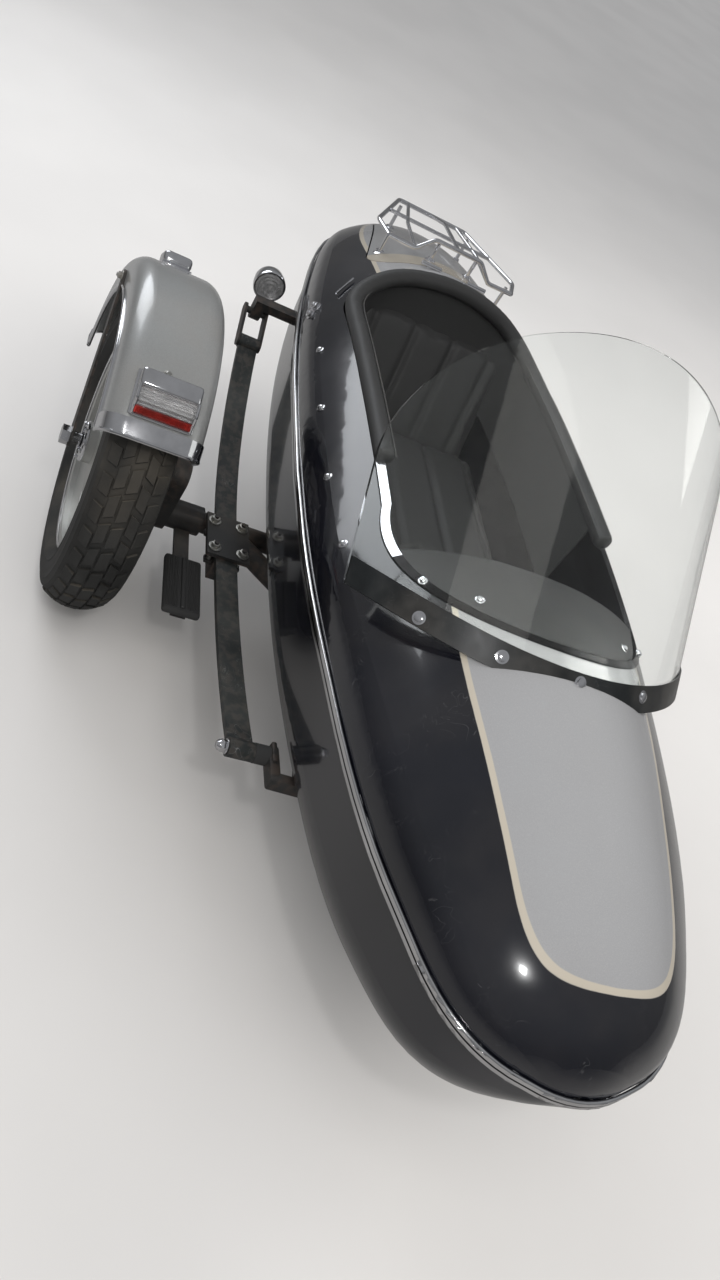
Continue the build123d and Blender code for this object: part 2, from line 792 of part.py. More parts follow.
with BuildPart() as wheel_rim:
    with BuildSketch(wheel_plane(90)):
        with BuildLine():
            seat = BEAD_RADIUS - SEAT_GAP
            flange = BEAD_HALF + SEAT_GAP
            Polyline(
                (flange + RIM_FLANGE_WIDTH, RIM_FLANGE_RADIUS),
                (flange + RIM_FLANGE_WIDTH - RIM_LIP, RIM_FLANGE_RADIUS),
                (flange, seat),
                (BEAD_HALF - BEAD_WIDTH, seat),
                (RIM_WELL_HALF, RIM_WELL_RADIUS),
                (-RIM_WELL_HALF, RIM_WELL_RADIUS),
                (-BEAD_HALF + BEAD_WIDTH, seat),
                (-flange, seat),
                (-flange - RIM_FLANGE_WIDTH + RIM_LIP, RIM_FLANGE_RADIUS),
                (-flange - RIM_FLANGE_WIDTH, RIM_FLANGE_RADIUS),
                (-flange - RIM_BACK, seat - RIM_WALL),
                (-BEAD_HALF + BEAD_WIDTH - RIM_BEND, seat - RIM_WALL),
                (-RIM_WELL_HALF - RIM_BEND, RIM_WELL_RADIUS - RIM_WALL),
                (RIM_WELL_HALF + RIM_BEND, RIM_WELL_RADIUS - RIM_WALL),
                (BEAD_HALF - BEAD_WIDTH + RIM_BEND, seat - RIM_WALL),
                (flange + RIM_BACK, seat - RIM_WALL),
                close=True,
            )
        make_face()
        with BuildLine():
            Polyline(
                (-RIM_WELL_HALF, RIM_WELL_RADIUS - WEB_BITE),
                (-RIM_WELL_HALF + WEB_THICKNESS, RIM_WELL_RADIUS - WEB_BITE),
                (-RIM_WELL_HALF - WEB_DISH + WEB_THICKNESS, HUB_RADIUS),
                (HUB_INNER_Y, HUB_RADIUS),
                (HUB_INNER_Y, SPINDLE_RADIUS + SPINDLE_CLEARANCE),
                (HUB_OUTER_Y, SPINDLE_RADIUS + SPINDLE_CLEARANCE),
                (HUB_OUTER_Y, HUB_RADIUS),
                (-RIM_WELL_HALF - WEB_DISH, HUB_RADIUS),
                close=True,
            )
        make_face()
    revolve(axis=axle_axis)
    slot_plane = Plane(origin=(0, -TYRE_HALF, TYRE_RADIUS), x_dir=(1, 0, 0), z_dir=(0, -1, 0))
    with BuildSketch(slot_plane):
        with PolarLocations(SLOT_PITCH_RADIUS, SLOT_COUNT):
            SlotOverall(SLOT_LENGTH, SLOT_WIDTH)
    extrude(amount=-2 * TYRE_HALF, mode=Mode.SUBTRACT)
wheel_rim.part.label = "wheel_rim"
pieces.append(wheel_rim.part)

disc_y = HUB_INNER_Y
with BuildPart() as brake_disc:
    with BuildSketch(Plane(origin=(0, disc_y, TYRE_RADIUS), x_dir=(-1, 0, 0), z_dir=(0, 1, 0))):
        Circle(DISC_RADIUS)
        Circle(SPINDLE_RADIUS + DISC_BORE_GAP, mode=Mode.SUBTRACT)
    extrude(amount=DISC_THICKNESS)
brake_disc.part.label = "brake_disc"
pieces.append(brake_disc.part)

# Axle casting and spindle
caliper_turn = radians(CALIPER_ANGLE)
caliper_radius = (CALIPER_REACH + CALIPER_BRIDGE) / 2
caliper_middle = (caliper_radius * cos(caliper_turn), TYRE_RADIUS + caliper_radius * sin(caliper_turn))
with BuildPart() as axle_casting:
    with BuildSketch(side_plane(CASTING_Y)):
        with Locations((0, TYRE_RADIUS)):
            Circle(CASTING_BOSS_RADIUS)
        with Locations((CROSS_X, CROSS_Z)):
            Circle(CASTING_FOOT_RADIUS)
        make_hull()
    extrude(amount=-CASTING_THICKNESS)
    with BuildSketch(side_plane(CASTING_Y + CASTING_THICKNESS)):
        with Locations((CROSS_X, CROSS_Z)):
            Circle(SOCKET_RADIUS)
    extrude(amount=-(SOCKET_END_Y - CASTING_Y - CASTING_THICKNESS))
    with BuildSketch(side_plane(CASTING_Y)):
        with Locations((0, TYRE_RADIUS)):
            Circle(CASTING_BOSS_RADIUS)
        with Locations(caliper_middle):
            Circle(CALIPER_FOOT_RADIUS)
        make_hull()
    extrude(amount=-CALIPER_ARM)
    with Locations((CROSS_X, STEP_Y, STEP_Z - STEP_THICKNESS)):
        Box(
            STEP_X + STEP_LENGTH / 2 - STEP_ARM_SHORT - CROSS_X,
            2 * STEP_ARM_HALF,
            STEP_ARM_THICKNESS,
            align=(Align.MIN, Align.CENTER, Align.MAX),
        )
    with BuildSketch(side_plane(CROSS_START_Y)):
        with Locations((CROSS_X, CROSS_Z)):
            Circle(TUBE_RADIUS)
    extrude(amount=-(SOCKET_END_Y - CROSS_START_Y), mode=Mode.SUBTRACT)
    with BuildSketch(side_plane(CASTING_Y)):
        with Locations((0, TYRE_RADIUS)):
            Circle(SPINDLE_RADIUS)
    extrude(amount=-(SPINDLE_INNER_Y - CASTING_Y), mode=Mode.SUBTRACT)
axle_casting.part.label = "axle_casting"
pieces.append(axle_casting.part)

with BuildPart() as axle_spindle:
    with BuildSketch(side_plane(SPINDLE_OUTER_Y)):
        with Locations((0, TYRE_RADIUS)):
            Circle(SPINDLE_RADIUS)
    extrude(amount=-(SPINDLE_INNER_Y - SPINDLE_OUTER_Y))
    with BuildSketch(side_plane(SPINDLE_OUTER_Y)):
        with Locations((0, TYRE_RADIUS)):
            RegularPolygon(NUT_RADIUS, 6)
    extrude(amount=NUT_THICKNESS)
axle_spindle.part.label = "axle_spindle"
pieces.append(axle_spindle.part)

# Brake caliper
caliper_plane = wheel_plane(CALIPER_ANGLE)
disc_middle = disc_y + DISC_THICKNESS / 2
cheek_start = disc_middle - DISC_THICKNESS / 2 - CALIPER_GAP - CALIPER_CHEEK
with BuildPart() as brake_caliper:
    with BuildSketch(caliper_plane):
        with BuildLine():
            slot_low = disc_middle - DISC_THICKNESS / 2 - CALIPER_GAP
            slot_high = disc_middle + DISC_THICKNESS / 2 + CALIPER_GAP
            Polyline(
                (cheek_start, CALIPER_REACH),
                (slot_low, CALIPER_REACH),
                (slot_low, DISC_RADIUS + CALIPER_GAP),
                (slot_high, DISC_RADIUS + CALIPER_GAP),
                (slot_high, CALIPER_REACH),
                (CASTING_Y, CALIPER_REACH),
                (CASTING_Y, CALIPER_BRIDGE),
                (cheek_start, CALIPER_BRIDGE),
                close=True,
            )
        make_face()
    extrude(amount=CALIPER_HALF, both=True)
    add(
        round_bar(
            (0, HUB_OUTER_Y, TYRE_RADIUS), (0, CASTING_Y, TYRE_RADIUS), CALIPER_REACH - CALIPER_COVE
        ),
        mode=Mode.SUBTRACT,
    )
brake_caliper.part.label = "brake_caliper"
pieces.append(brake_caliper.part)

# Chassis tubes
rail_axis_start = (RAIL_REAR_X, RAIL_Y, RAIL_Z)
rail_axis_end = (RAIL_FRONT_X, RAIL_Y, RAIL_Z)
rail_solid = round_bar(rail_axis_start, rail_axis_end, TUBE_RADIUS)
with BuildPart() as left_rail:
    add(rail_solid)
    add(round_bar(rail_axis_start, rail_axis_end, TUBE_RADIUS - TUBE_WALL), mode=Mode.SUBTRACT)
left_rail.part.label = "left_rail"
pieces.append(left_rail.part)


def bent_tube(points, bend, radius):
    """Solid bar along straight runs joined by tangent arcs."""
    with BuildPart() as tube:
        with BuildLine() as path:
            FilletPolyline(*points, radius=bend)
        with BuildSketch(Plane(origin=path.wire() @ 0, z_dir=path.wire() % 0)):
            Circle(radius)
        sweep(path=path.wire())
    return tube.part


cross_points = (
    (CROSS_X, CROSS_START_Y, CROSS_Z),
    (CROSS_X, CROSS_BEND_START_Y, CROSS_Z),
    (CROSS_X, CROSS_BEND_END_Y, RAIL_Z),
    (CROSS_X, RAIL_Y, RAIL_Z),
)
cross_solid = bent_tube(cross_points, CROSS_BEND_RADIUS, TUBE_RADIUS)
with BuildPart() as cross_tube:
    add(cross_solid)
    add(bent_tube(cross_points, CROSS_BEND_RADIUS, TUBE_RADIUS - TUBE_WALL), mode=Mode.SUBTRACT)
    add(rail_solid, mode=Mode.SUBTRACT)
cross_tube.part.label = "cross_tube"
pieces.append(cross_tube.part)

diagonal_ends = ((CROSS_X, DIAGONAL_START_Y, CROSS_Z), (DIAGONAL_END_X, RAIL_Y, RAIL_Z))
with BuildPart() as diagonal_tube:
    add(round_bar(*diagonal_ends, TUBE_RADIUS))
    add(cross_solid, mode=Mode.SUBTRACT)
    add(rail_solid, mode=Mode.SUBTRACT)
    split(bisect_by=Plane.YZ.offset(CROSS_X + DIAGONAL_TRIM), keep=Keep.TOP)
diagonal_tube.part.label = "diagonal_tube"
pieces.append(diagonal_tube.part)

# Forks and lugs
lean = radians(LEAN)
wheel_rest_z = (TYRE_RADIUS - TYRE_CROWN_RADIUS) * cos(lean) + TYRE_CROWN_RADIUS


def fork_eye(y):
    """Y and Z of a fork's eye at y that rests on the ground in the parked attitude."""
    return (y, TYRE_RADIUS + (FORK_EYE_RADIUS + y * sin(lean) - wheel_rest_z) / cos(lean))


def ear_fitting(x, width, gap, eye, eye_radius, bore, clamp):
    """Clamp round the rail that carries two ears with a bore along X."""
    with BuildPart() as fitting:
        with BuildSketch(cross_plane(x - width / 2)):
            with Locations(eye):
                Circle(eye_radius)
            with Locations((RAIL_Y, RAIL_Z)):
                Circle(clamp)
            make_hull()
        extrude(amount=width)
        with BuildSketch(cross_plane(x - gap / 2)):
            with Locations(eye):
                Circle(eye_radius + EAR_CLEARANCE)
        extrude(amount=gap, mode=Mode.SUBTRACT)
        with BuildSketch(cross_plane(x - width / 2)):
            with Locations(eye):
                Circle(bore)
            with Locations((RAIL_Y, RAIL_Z)):
                Circle(TUBE_RADIUS)
        extrude(amount=width, mode=Mode.SUBTRACT)
    return fitting.part


for name, (x, y) in FORKS.items():
    fork = ear_fitting(x, FORK_WIDTH, FORK_GAP, fork_eye(y), FORK_EYE_RADIUS, FORK_BORE_RADIUS, CLAMP_RADIUS)
    fork.label = name
    pieces.append(fork)
for name, (x, z) in LUGS.items():
    lug = ear_fitting(x, LUG_WIDTH, LUG_GAP, (RAIL_Y, z), LUG_RADIUS, LUG_BORE_RADIUS, CLAMP_RADIUS)
    lug.label = name
    pieces.append(lug)

# Leaf springs
def leaf_run(start_x, end_x, end_z, offset_z):
    """Both ends of an arc that leaves the spring's flat middle towards an eye."""
    rise = end_z - SPRING_MID_Z
    radius = ((end_x - start_x) ** 2 + rise**2) / (2 * rise)
    share = (radius - offset_z) / radius
    centre_z = SPRING_MID_Z + radius
    end = (start_x + (end_x - start_x) * share, centre_z + (end_z - centre_z) * share)
    return (start_x, SPRING_MID_Z + offset_z), end


fittings = {
    "spring_saddles": [],
    "spring_clamps": [],
    "front_brackets": [],
    "rear_shackles": [],
    "rear_brackets": [],
}
for side, y in sides.items():
    ends = []
    with BuildPart() as spring:
        with BuildSketch(side_plane(y - SPRING_HALF)):
            with BuildLine():
                for offset_z in (-SPRING_THICKNESS / 2, SPRING_THICKNESS / 2):
                    rear = leaf_run(SPRING_MID_X - SADDLE_HALF_X, SPRING_REAR_X, SPRING_REAR_Z, offset_z)
                    front = leaf_run(SPRING_MID_X + SADDLE_HALF_X, SPRING_FRONT_X, SPRING_FRONT_Z, offset_z)
                    Line(rear[0], front[0])
                    TangentArc(*rear, tangent=(-1, 0))
                    TangentArc(*front, tangent=(1, 0))
                    ends.extend((rear[1], front[1]))
                Line(ends[0], ends[2])
                Line(ends[1], ends[3])
            make_face()
            for eye in ((SPRING_REAR_X, SPRING_REAR_Z), (SPRING_FRONT_X, SPRING_FRONT_Z)):
                with Locations(eye):
                    Circle(EYE_RADIUS)
                    Circle(PIN_RADIUS, mode=Mode.SUBTRACT)
        extrude(amount=-2 * SPRING_HALF)
    spring.part.label = f"{side}_leaf_spring"
    pieces.append(spring.part)

    spring_low = SPRING_MID_Z - SPRING_THICKNESS / 2
    spring_high = SPRING_MID_Z + SPRING_THICKNESS / 2
    tube_z = CROSS_Z if side == "right" else RAIL_Z
    saddle_low = tube_z
    with BuildPart() as saddle:
        with Locations((CROSS_X, y, saddle_low)):
            Box(
                SPRING_MID_X + SADDLE_HALF_X - CROSS_X,
                2 * SPRING_HALF,
                spring_low - SEAT_GAP - saddle_low,
                align=(Align.MIN, Align.CENTER, Align.MIN),
            )
        add(cross_solid, mode=Mode.SUBTRACT)
        add(round_bar(*diagonal_ends, TUBE_RADIUS + SEAT_GAP), mode=Mode.SUBTRACT)
        split(bisect_by=Plane.YZ.offset(CROSS_X + TUBE_RADIUS), keep=Keep.TOP)
    fittings["spring_saddles"].append(saddle.part)

    with BuildPart() as clamp:
        with Locations((SPRING_MID_X, y, spring_high + SEAT_GAP)):
            Box(
                2 * SADDLE_HALF_X,
                2 * SADDLE_HALF_Y,
                SADDLE_PLATE,
                align=(Align.CENTER, Align.CENTER, Align.MIN),
            )
        with Locations((SPRING_MID_X, y, spring_high + SEAT_GAP)):
            with GridLocations(2 * BOLT_X, 2 * BOLT_Y, 2, 2):
                Cylinder(
                    BOLT_RADIUS,
                    SADDLE_PLATE + BOLT_NUT_HEIGHT + BOLT_END,
                    align=(Align.CENTER, Align.CENTER, Align.MIN),
                )
    fittings["spring_clamps"].append(clamp.part)

    inboard = 1 if side == "right" else -1
    arm_y = y + inboard * (SPRING_HALF + ARM_OFFSET)
    front_pin_start = (SPRING_FRONT_X, y - inboard * (SPRING_HALF + PIN_END), SPRING_FRONT_Z)
    front_pin_end = (SPRING_FRONT_X, arm_y, SPRING_FRONT_Z)
    with BuildPart() as front_bracket:
        add(round_bar(front_pin_start, front_pin_end, PIN_RADIUS))
        with Locations((SPRING_FRONT_X - EYE_RADIUS, arm_y, SPRING_FRONT_Z - EYE_RADIUS)):
            Box(
                ARM_LENGTH,
                ARM_WIDTH,
                2 * EYE_RADIUS,
                align=(Align.MIN, Align.CENTER, Align.MIN),
            )
        add(tub_clear, mode=Mode.SUBTRACT)
    fittings["front_brackets"].append(front_bracket.part)

    with BuildPart() as shackle:
        for offset in (-(SPRING_HALF + SEAT_GAP + SHACKLE_THICKNESS), SPRING_HALF + SEAT_GAP):
            with BuildSketch(side_plane(y + offset)):
                for eye in ((SPRING_REAR_X, SPRING_REAR_Z), (SHACKLE_X, SHACKLE_Z)):
                    with Locations(eye):
                        Circle(SHACKLE_HALF)
                make_hull()
            extrude(amount=-SHACKLE_THICKNESS)
        reach = SPRING_HALF + SEAT_GAP + SHACKLE_THICKNESS
        for x, z in ((SPRING_REAR_X, SPRING_REAR_Z), (SHACKLE_X, SHACKLE_Z)):
            add(round_bar((x, y - reach, z), (x, y + reach, z), PIN_RADIUS))
    fittings["rear_shackles"].append(shackle.part)

    with BuildPart() as rear_bracket:
        with BuildSketch(side_plane(y - BRACKET_HALF)):
            with Locations((SHACKLE_X, SHACKLE_Z)):
                Circle(EYE_RADIUS)
                Rectangle(2 * EYE_RADIUS, BRACKET_RISE, align=(Align.CENTER, Align.MIN))
                Circle(PIN_RADIUS + SEAT_GAP, mode=Mode.SUBTRACT)
        extrude(amount=-2 * BRACKET_HALF)
        with Locations((SHACKLE_X, y - inboard * BRACKET_HALF, SHACKLE_Z + BRACKET_RISE)):
            Box(
                2 * EYE_RADIUS,
                BRACKET_REACH,
                BRACKET_BAR,
                align=(Align.CENTER, Align.MIN if inboard > 0 else Align.MAX, Align.MAX),
            )
        add(tub_clear, mode=Mode.SUBTRACT)
    fittings["rear_brackets"].append(rear_bracket.part)

for name, pair in fittings.items():
    pieces.append(Compound(pair, label=name))

# Step
with BuildPart() as step_pad:
    with BuildSketch(Plane.XY.offset(STEP_Z - STEP_THICKNESS)):
        with Locations((STEP_X, STEP_Y)):
            RectangleRounded(STEP_LENGTH, STEP_WIDTH, STEP_CORNER)
    extrude(amount=STEP_THICKNESS)
    with BuildSketch(Plane.XY.offset(STEP_Z)):
        with Locations((STEP_X, STEP_Y)):
            SlotOverall(STEP_LENGTH - STEP_CORNER, STEP_RIB)
    extrude(amount=STEP_RIB_HEIGHT)
step_pad.part.label = "step_pad"
pieces.append(step_pad.part)

# Fender
def fender_band(radius, half, low, rounding, from_angle, to_angle):
    """Solid swept round the axle whose section is flat sided and round shouldered."""
    with BuildPart() as band:
        with BuildSketch(wheel_plane(from_angle)):
            with BuildLine():
                Line((-half, low), (-half, radius - rounding))
                bend = rounding * (1 - cos(pi / 4))
                ThreePointArc(
                    (-half, radius - rounding),
                    (-half + bend, radius - bend),
                    (-half + rounding, radius),
                )
                Line((-half + rounding, radius), (half - rounding, radius))
                ThreePointArc(
                    (half - rounding, radius),
                    (half - bend, radius - bend),
                    (half, radius - rounding),
                )
                Line((half, radius - rounding), (half, low))
                Line((half, low), (-half, low))
            make_face()
        revolve(axis=Axis((0, 0, TYRE_RADIUS), (0, -1, 0)), revolution_arc=to_angle - from_angle)
    return band.part


fender_low = FENDER_RADIUS - FENDER_SKIRT
with BuildPart() as fender:
    add(
        fender_band(
            FENDER_RADIUS,
            FENDER_HALF,
            fender_low,
            FENDER_ROUND,
            FENDER_FRONT_ANGLE,
            FENDER_REAR_ANGLE,
        )
    )
    add(
        fender_band(
            FENDER_RADIUS - FENDER_WALL,
            FENDER_HALF - FENDER_WALL,
            fender_low - FENDER_WALL,
            FENDER_ROUND - FENDER_WALL,
            FENDER_FRONT_ANGLE - FENDER_END_CUT,
            FENDER_REAR_ANGLE + FENDER_END_CUT,
        ),
        mode=Mode.SUBTRACT,
    )
fender.part.label = "fender"
pieces.append(fender.part)

stay_turn = radians(STAY_ANGLE)
stay_top = (STAY_RADIUS * cos(stay_turn), TYRE_RADIUS + STAY_RADIUS * sin(stay_turn))
stays = []
for y in (-FENDER_HALF - STAY_THICKNESS, FENDER_HALF):
    with BuildPart() as stay:
        with BuildSketch(side_plane(y)):
            with Locations((0, TYRE_RADIUS)):
                Circle(STAY_HALF + STAY_EYE_RIM)
            with Locations(stay_top):
                Circle(STAY_HALF)
            make_hull()
            with Locations((0, TYRE_RADIUS)):
                Circle(SPINDLE_RADIUS, mode=Mode.SUBTRACT)
        extrude(amount=-STAY_THICKNESS)
    stays.append(stay.part)
pieces.append(Compound(stays, label="fender_stays"))

# Lamps on the fender
for name, angle, half, sweep_angle, height in (
    ("front", LAMP_ANGLE, LAMP_HALF, LAMP_SWEEP, LAMP_HEIGHT),
    ("rear", REAR_LAMP_ANGLE, REAR_LAMP_HALF, REAR_LAMP_SWEEP, REAR_LAMP_HEIGHT),
):
    low = FENDER_RADIUS + SEAT_GAP
    with BuildPart() as lamp:
        with BuildSketch(wheel_plane(angle - sweep_angle / 2)):
            with Locations((0, low + height / 2)):
                RectangleRounded(2 * half, height, LAMP_CORNER)
            with Locations((0, low + height / 4)):
                Rectangle(2 * half, height / 2)
        revolve(axis=Axis((0, 0, TYRE_RADIUS), (0, -1, 0)), revolution_arc=sweep_angle)
    lamp.part.label = f"fender_{name}_lamp"
    pieces.append(lamp.part)

# Turn lamp
turn_foot = (SHACKLE_X, TURN_Y, SHACKLE_Z + BRACKET_RISE - BRACKET_BAR / 2)
with BuildPart() as turn_lamp:
    with BuildSketch(side_plane(TURN_Y)):
        with Locations((TURN_X, TURN_Z)):
            Ellipse(TURN_LENGTH / 2, TURN_RADIUS)
        with Locations((TURN_X, TURN_Z)):
            Rectangle(TURN_LENGTH, TURN_RADIUS, align=(Align.CENTER, Align.MAX), mode=Mode.SUBTRACT)
    revolve(axis=Axis((TURN_X, TURN_Y, TURN_Z), (1, 0, 0)))
    add(round_bar((TURN_X, TURN_Y, TURN_Z), turn_foot, TURN_STEM_RADIUS))
    split(bisect_by=Plane.YZ.offset(SHACKLE_X - EYE_RADIUS - SEAT_GAP), keep=Keep.BOTTOM)
turn_lamp.part.label = "turn_lamp"
pieces.append(turn_lamp.part)

# Attitude at rest, and the origin in the middle of the footprint
parked = Location((0, 0, wheel_rest_z)) * Location((0, 0, 0), (-LEAN, 0, 0)) * Location((0, 0, -TYRE_RADIUS))
leaned = [piece.moved(parked) for piece in pieces]
boxes = [piece.bounding_box() for piece in leaned]
low = Vector(*(min(getattr(box.min, axis) for box in boxes) for axis in "XYZ"))
high = Vector(*(max(getattr(box.max, axis) for box in boxes) for axis in "XYZ"))
footprint = Location((-(low.X + high.X) / 2, -(low.Y + high.Y) / 2, -low.Z))
placement = footprint * parked

if __name__ == "__main__":
    os.makedirs("parts", exist_ok=True)
    for piece in leaned:
        export_step(piece.moved(footprint), f"parts/{piece.label}.step")
    print("box", low, high)
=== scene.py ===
"""Looks of a classic touring sidecar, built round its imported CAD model.

Every size is in metres in the chassis frame: X forward from the wheel's axle, Y left from
the wheel's middle plane and Z up from the road in use. A finished mesh is then moved into
the parked attitude of the frame, where the sidecar leans on its two lower forks.
"""

import json
import logging
from dataclasses import dataclass
from enum import Enum
from math import atan2, cos, exp, pi, radians, sin, sqrt
from typing import Callable, Iterable, Optional, Sequence, Union

import bmesh
import bpy
from mathutils import Matrix, Vector
from mathutils.bvhtree import BVHTree


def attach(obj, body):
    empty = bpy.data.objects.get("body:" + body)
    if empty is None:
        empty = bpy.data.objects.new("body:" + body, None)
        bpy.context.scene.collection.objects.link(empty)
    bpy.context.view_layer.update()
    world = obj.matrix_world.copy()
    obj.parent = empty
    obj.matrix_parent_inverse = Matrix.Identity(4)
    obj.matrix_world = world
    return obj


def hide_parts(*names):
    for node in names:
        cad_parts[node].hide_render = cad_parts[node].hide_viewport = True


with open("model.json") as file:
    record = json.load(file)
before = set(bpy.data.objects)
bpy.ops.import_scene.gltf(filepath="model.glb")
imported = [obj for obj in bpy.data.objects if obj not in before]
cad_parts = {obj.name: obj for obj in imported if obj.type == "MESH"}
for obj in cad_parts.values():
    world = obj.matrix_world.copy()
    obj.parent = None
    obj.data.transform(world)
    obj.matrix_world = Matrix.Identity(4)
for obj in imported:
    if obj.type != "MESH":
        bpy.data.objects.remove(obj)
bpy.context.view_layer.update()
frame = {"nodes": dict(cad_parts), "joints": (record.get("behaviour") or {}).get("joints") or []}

LOG = logging.getLogger("sidecar")

AXLE_Z = 0.3225
BODY_Y = 0.617
SPRING_Y = (0.262, 0.972)

Point = Sequence[float]
Colour = tuple[float, float, float]
Socket = bpy.types.NodeSocket
Value = Union[float, Point, Socket]


class Body(str, Enum):
    """The moving bodies of the frame."""

    CHASSIS = "chassis"
    WHEEL = "wheel"
    TRUNK = "trunk"


def spin_joint() -> dict:
    """The joint on which the wheel turns."""
    return next(joint for joint in frame["joints"] if joint["name"] == "wheel_spin")


def parked_lean() -> float:
    """Angle by which the sidecar leans to the left as it stands."""
    axis = spin_joint()["axis"]
    return atan2(-axis[2], axis[1])


def chassis_to_row() -> Matrix:
    """Matrix from the chassis frame to the frame in which the model is stored."""
    turned = Matrix.Translation(spin_joint()["pos_m"]) @ Matrix.Rotation(-parked_lean(), 4, "X")
    return turned @ Matrix.Translation((0, 0, -AXLE_Z))


TO_ROW = chassis_to_row()
TO_CHASSIS = TO_ROW.inverted()


# Camera


@dataclass(frozen=True)
class PhotoCamera:
    """The photograph's camera, held in the chassis frame."""

    place: Point = (1.69022, -0.307291, 1.583015)
    right: Point = (0.09015, 0.874514, 0.476549)
    down: Point = (0.734704, 0.264646, -0.624638)
    forward: Point = (-0.672371, 0.406433, -0.618651)
    focal: float = 1029.384
    width: int = 720
    height: int = 1280
    sensor: float = 36.0
    far: float = 200.0

    def ray(self, u: float, v: float) -> tuple[Vector, Vector]:
        """Start and direction, in the chassis frame, of the ray through one pixel.

        Args:
            u: Pixels from the photograph's left edge.
            v: Pixels from its top edge.

        Returns:
            The camera's place and a unit vector.
        """
        across = Vector(self.right) * ((u - self.width / 2) / self.focal)
        along = Vector(self.down) * ((v - self.height / 2) / self.focal)
        return Vector(self.place), (Vector(self.forward) + across + along).normalized()

    def build(self) -> None:
        """Make the camera the scene's own."""
        data = bpy.data.cameras.new("Camera")
        data.sensor_width = self.sensor
        data.lens = self.focal * self.sensor / self.height
        data.clip_end = self.far
        camera = bpy.data.objects.new("Camera", data)
        bpy.context.scene.collection.objects.link(camera)
        axes = Matrix((self.right, [-x for x in self.down], [-x for x in self.forward])).transposed()
        camera.matrix_world = TO_ROW @ Matrix.Translation(self.place) @ axes.to_4x4()
        bpy.context.scene.camera = camera


PHOTO = PhotoCamera()


# Node graphs


class Graph:
    """Adds nodes to one tree and links them."""

    def __init__(self, tree: bpy.types.NodeTree) -> None:
        """Keep the tree that the nodes go into."""
        self.tree = tree

    def add(self, kind: str, inputs: Optional[dict] = None, **settings: object) -> bpy.types.Node:
        """Add one node.

        Args:
            kind: The node's type, without the words ShaderNode.
            inputs: Values or output sockets, by the name or number of the input.
            settings: The node's own properties.

        Returns:
            The new node.
        """
        node = self.tree.nodes.new("ShaderNode" + kind)
        for name, value in settings.items():
            setattr(node, name, value)
        for name, value in (inputs or {}).items():
            if isinstance(value, Socket):
                self.tree.links.new(value, node.inputs[name])
            else:
                node.inputs[name].default_value = value
        return node

    def math(self, operation: str, first: Value, second: Value = 0.0, third: Value = 0.0,
             clamp: bool = False) -> Socket:
        """Output socket of a maths node on up to three values."""
        node = self.add("Math", {0: first, 1: second, 2: third}, operation=operation, use_clamp=clamp)
        return node.outputs[0]

    def product(self, first: Value, second: Value, third: Value) -> Socket:
        """Output socket of three masks multiplied, held between nothing and one."""
        return self.math("MULTIPLY", self.math("MULTIPLY", first, second), third, clamp=True)

    def mix(self, factor: Value, first: Value, second: Value) -> Socket:
        """Output socket of a colour mixed from two others by a factor."""
        node = self.add("Mix", {0: factor, 6: first, 7: second}, data_type="RGBA")
        return node.outputs[2]

    def ramp(self, value: Socket, low: Value, high: Value, to_low: float = 0.0,
             to_high: float = 1.0) -> Socket:
        """Output socket of a value carried smoothly from one range to another."""
        inputs = {"Value": value, "From Min": low, "From Max": high, "To Min": to_low, "To Max": to_high}
        return self.add("MapRange", inputs, interpolation_type="SMOOTHSTEP").outputs[0]

    def place(self) -> Socket:
        """Output socket of a point's place in the stored frame."""
        return self.add("TexCoord").outputs["Object"]

    def mirror_ray(self) -> Socket:
        """Output socket that is one on rays that a bright surface mirrors.

        Returns:
            The socket.
        """
        path = self.add("LightPath")
        return self.math(
            "SUBTRACT", path.outputs["Is Glossy Ray"], path.outputs["Is Transmission Ray"], clamp=True
        )

    def chassis_place(self) -> bpy.types.Node:
        """Separate node whose outputs are a point's X, Y and Z in the chassis frame.

        Returns:
            The node.
        """
        centre = tuple(spin_joint()["pos_m"])
        moved = self.add("VectorMath", {0: self.place(), 1: centre}, operation="SUBTRACT")
        spun = {"Vector": moved.outputs[0], "Angle": parked_lean()}
        turned = self.add("VectorRotate", spun, rotation_type="X_AXIS")
        raised = self.add("VectorMath", {0: turned.outputs[0], 1: (0, 0, AXLE_Z)}, operation="ADD")
        return self.add("SeparateXYZ", {0: raised.outputs[0]})


def group(name: str, inputs: dict[str, float], outputs: Sequence[str],
          fill: Callable[[Graph, dict[str, Socket]], tuple[Socket, ...]]) -> bpy.types.NodeTree:
    """Make a shader node group once.

    Args:
        name: The group's name.
        inputs: Its number inputs and their defaults.
        outputs: Its number outputs.
        fill: Called with the graph and the input sockets; returns the output sockets.

    Returns:
        The node group.
    """
    if name in bpy.data.node_groups:
        return bpy.data.node_groups[name]
    tree = bpy.data.node_groups.new(name, "ShaderNodeTree")
    for key, value in inputs.items():
        socket = tree.interface.new_socket(name=key, in_out="INPUT", socket_type="NodeSocketFloat")
        socket.default_value = value
    for key in outputs:
        tree.interface.new_socket(name=key, in_out="OUTPUT", socket_type="NodeSocketFloat")
    start = tree.nodes.new("NodeGroupInput")
    end = tree.nodes.new("NodeGroupOutput")
    results = fill(Graph(tree), {key: start.outputs[key] for key in inputs})
    for key, result in zip(outputs, results):
        tree.links.new(result, end.inputs[key])
    return tree


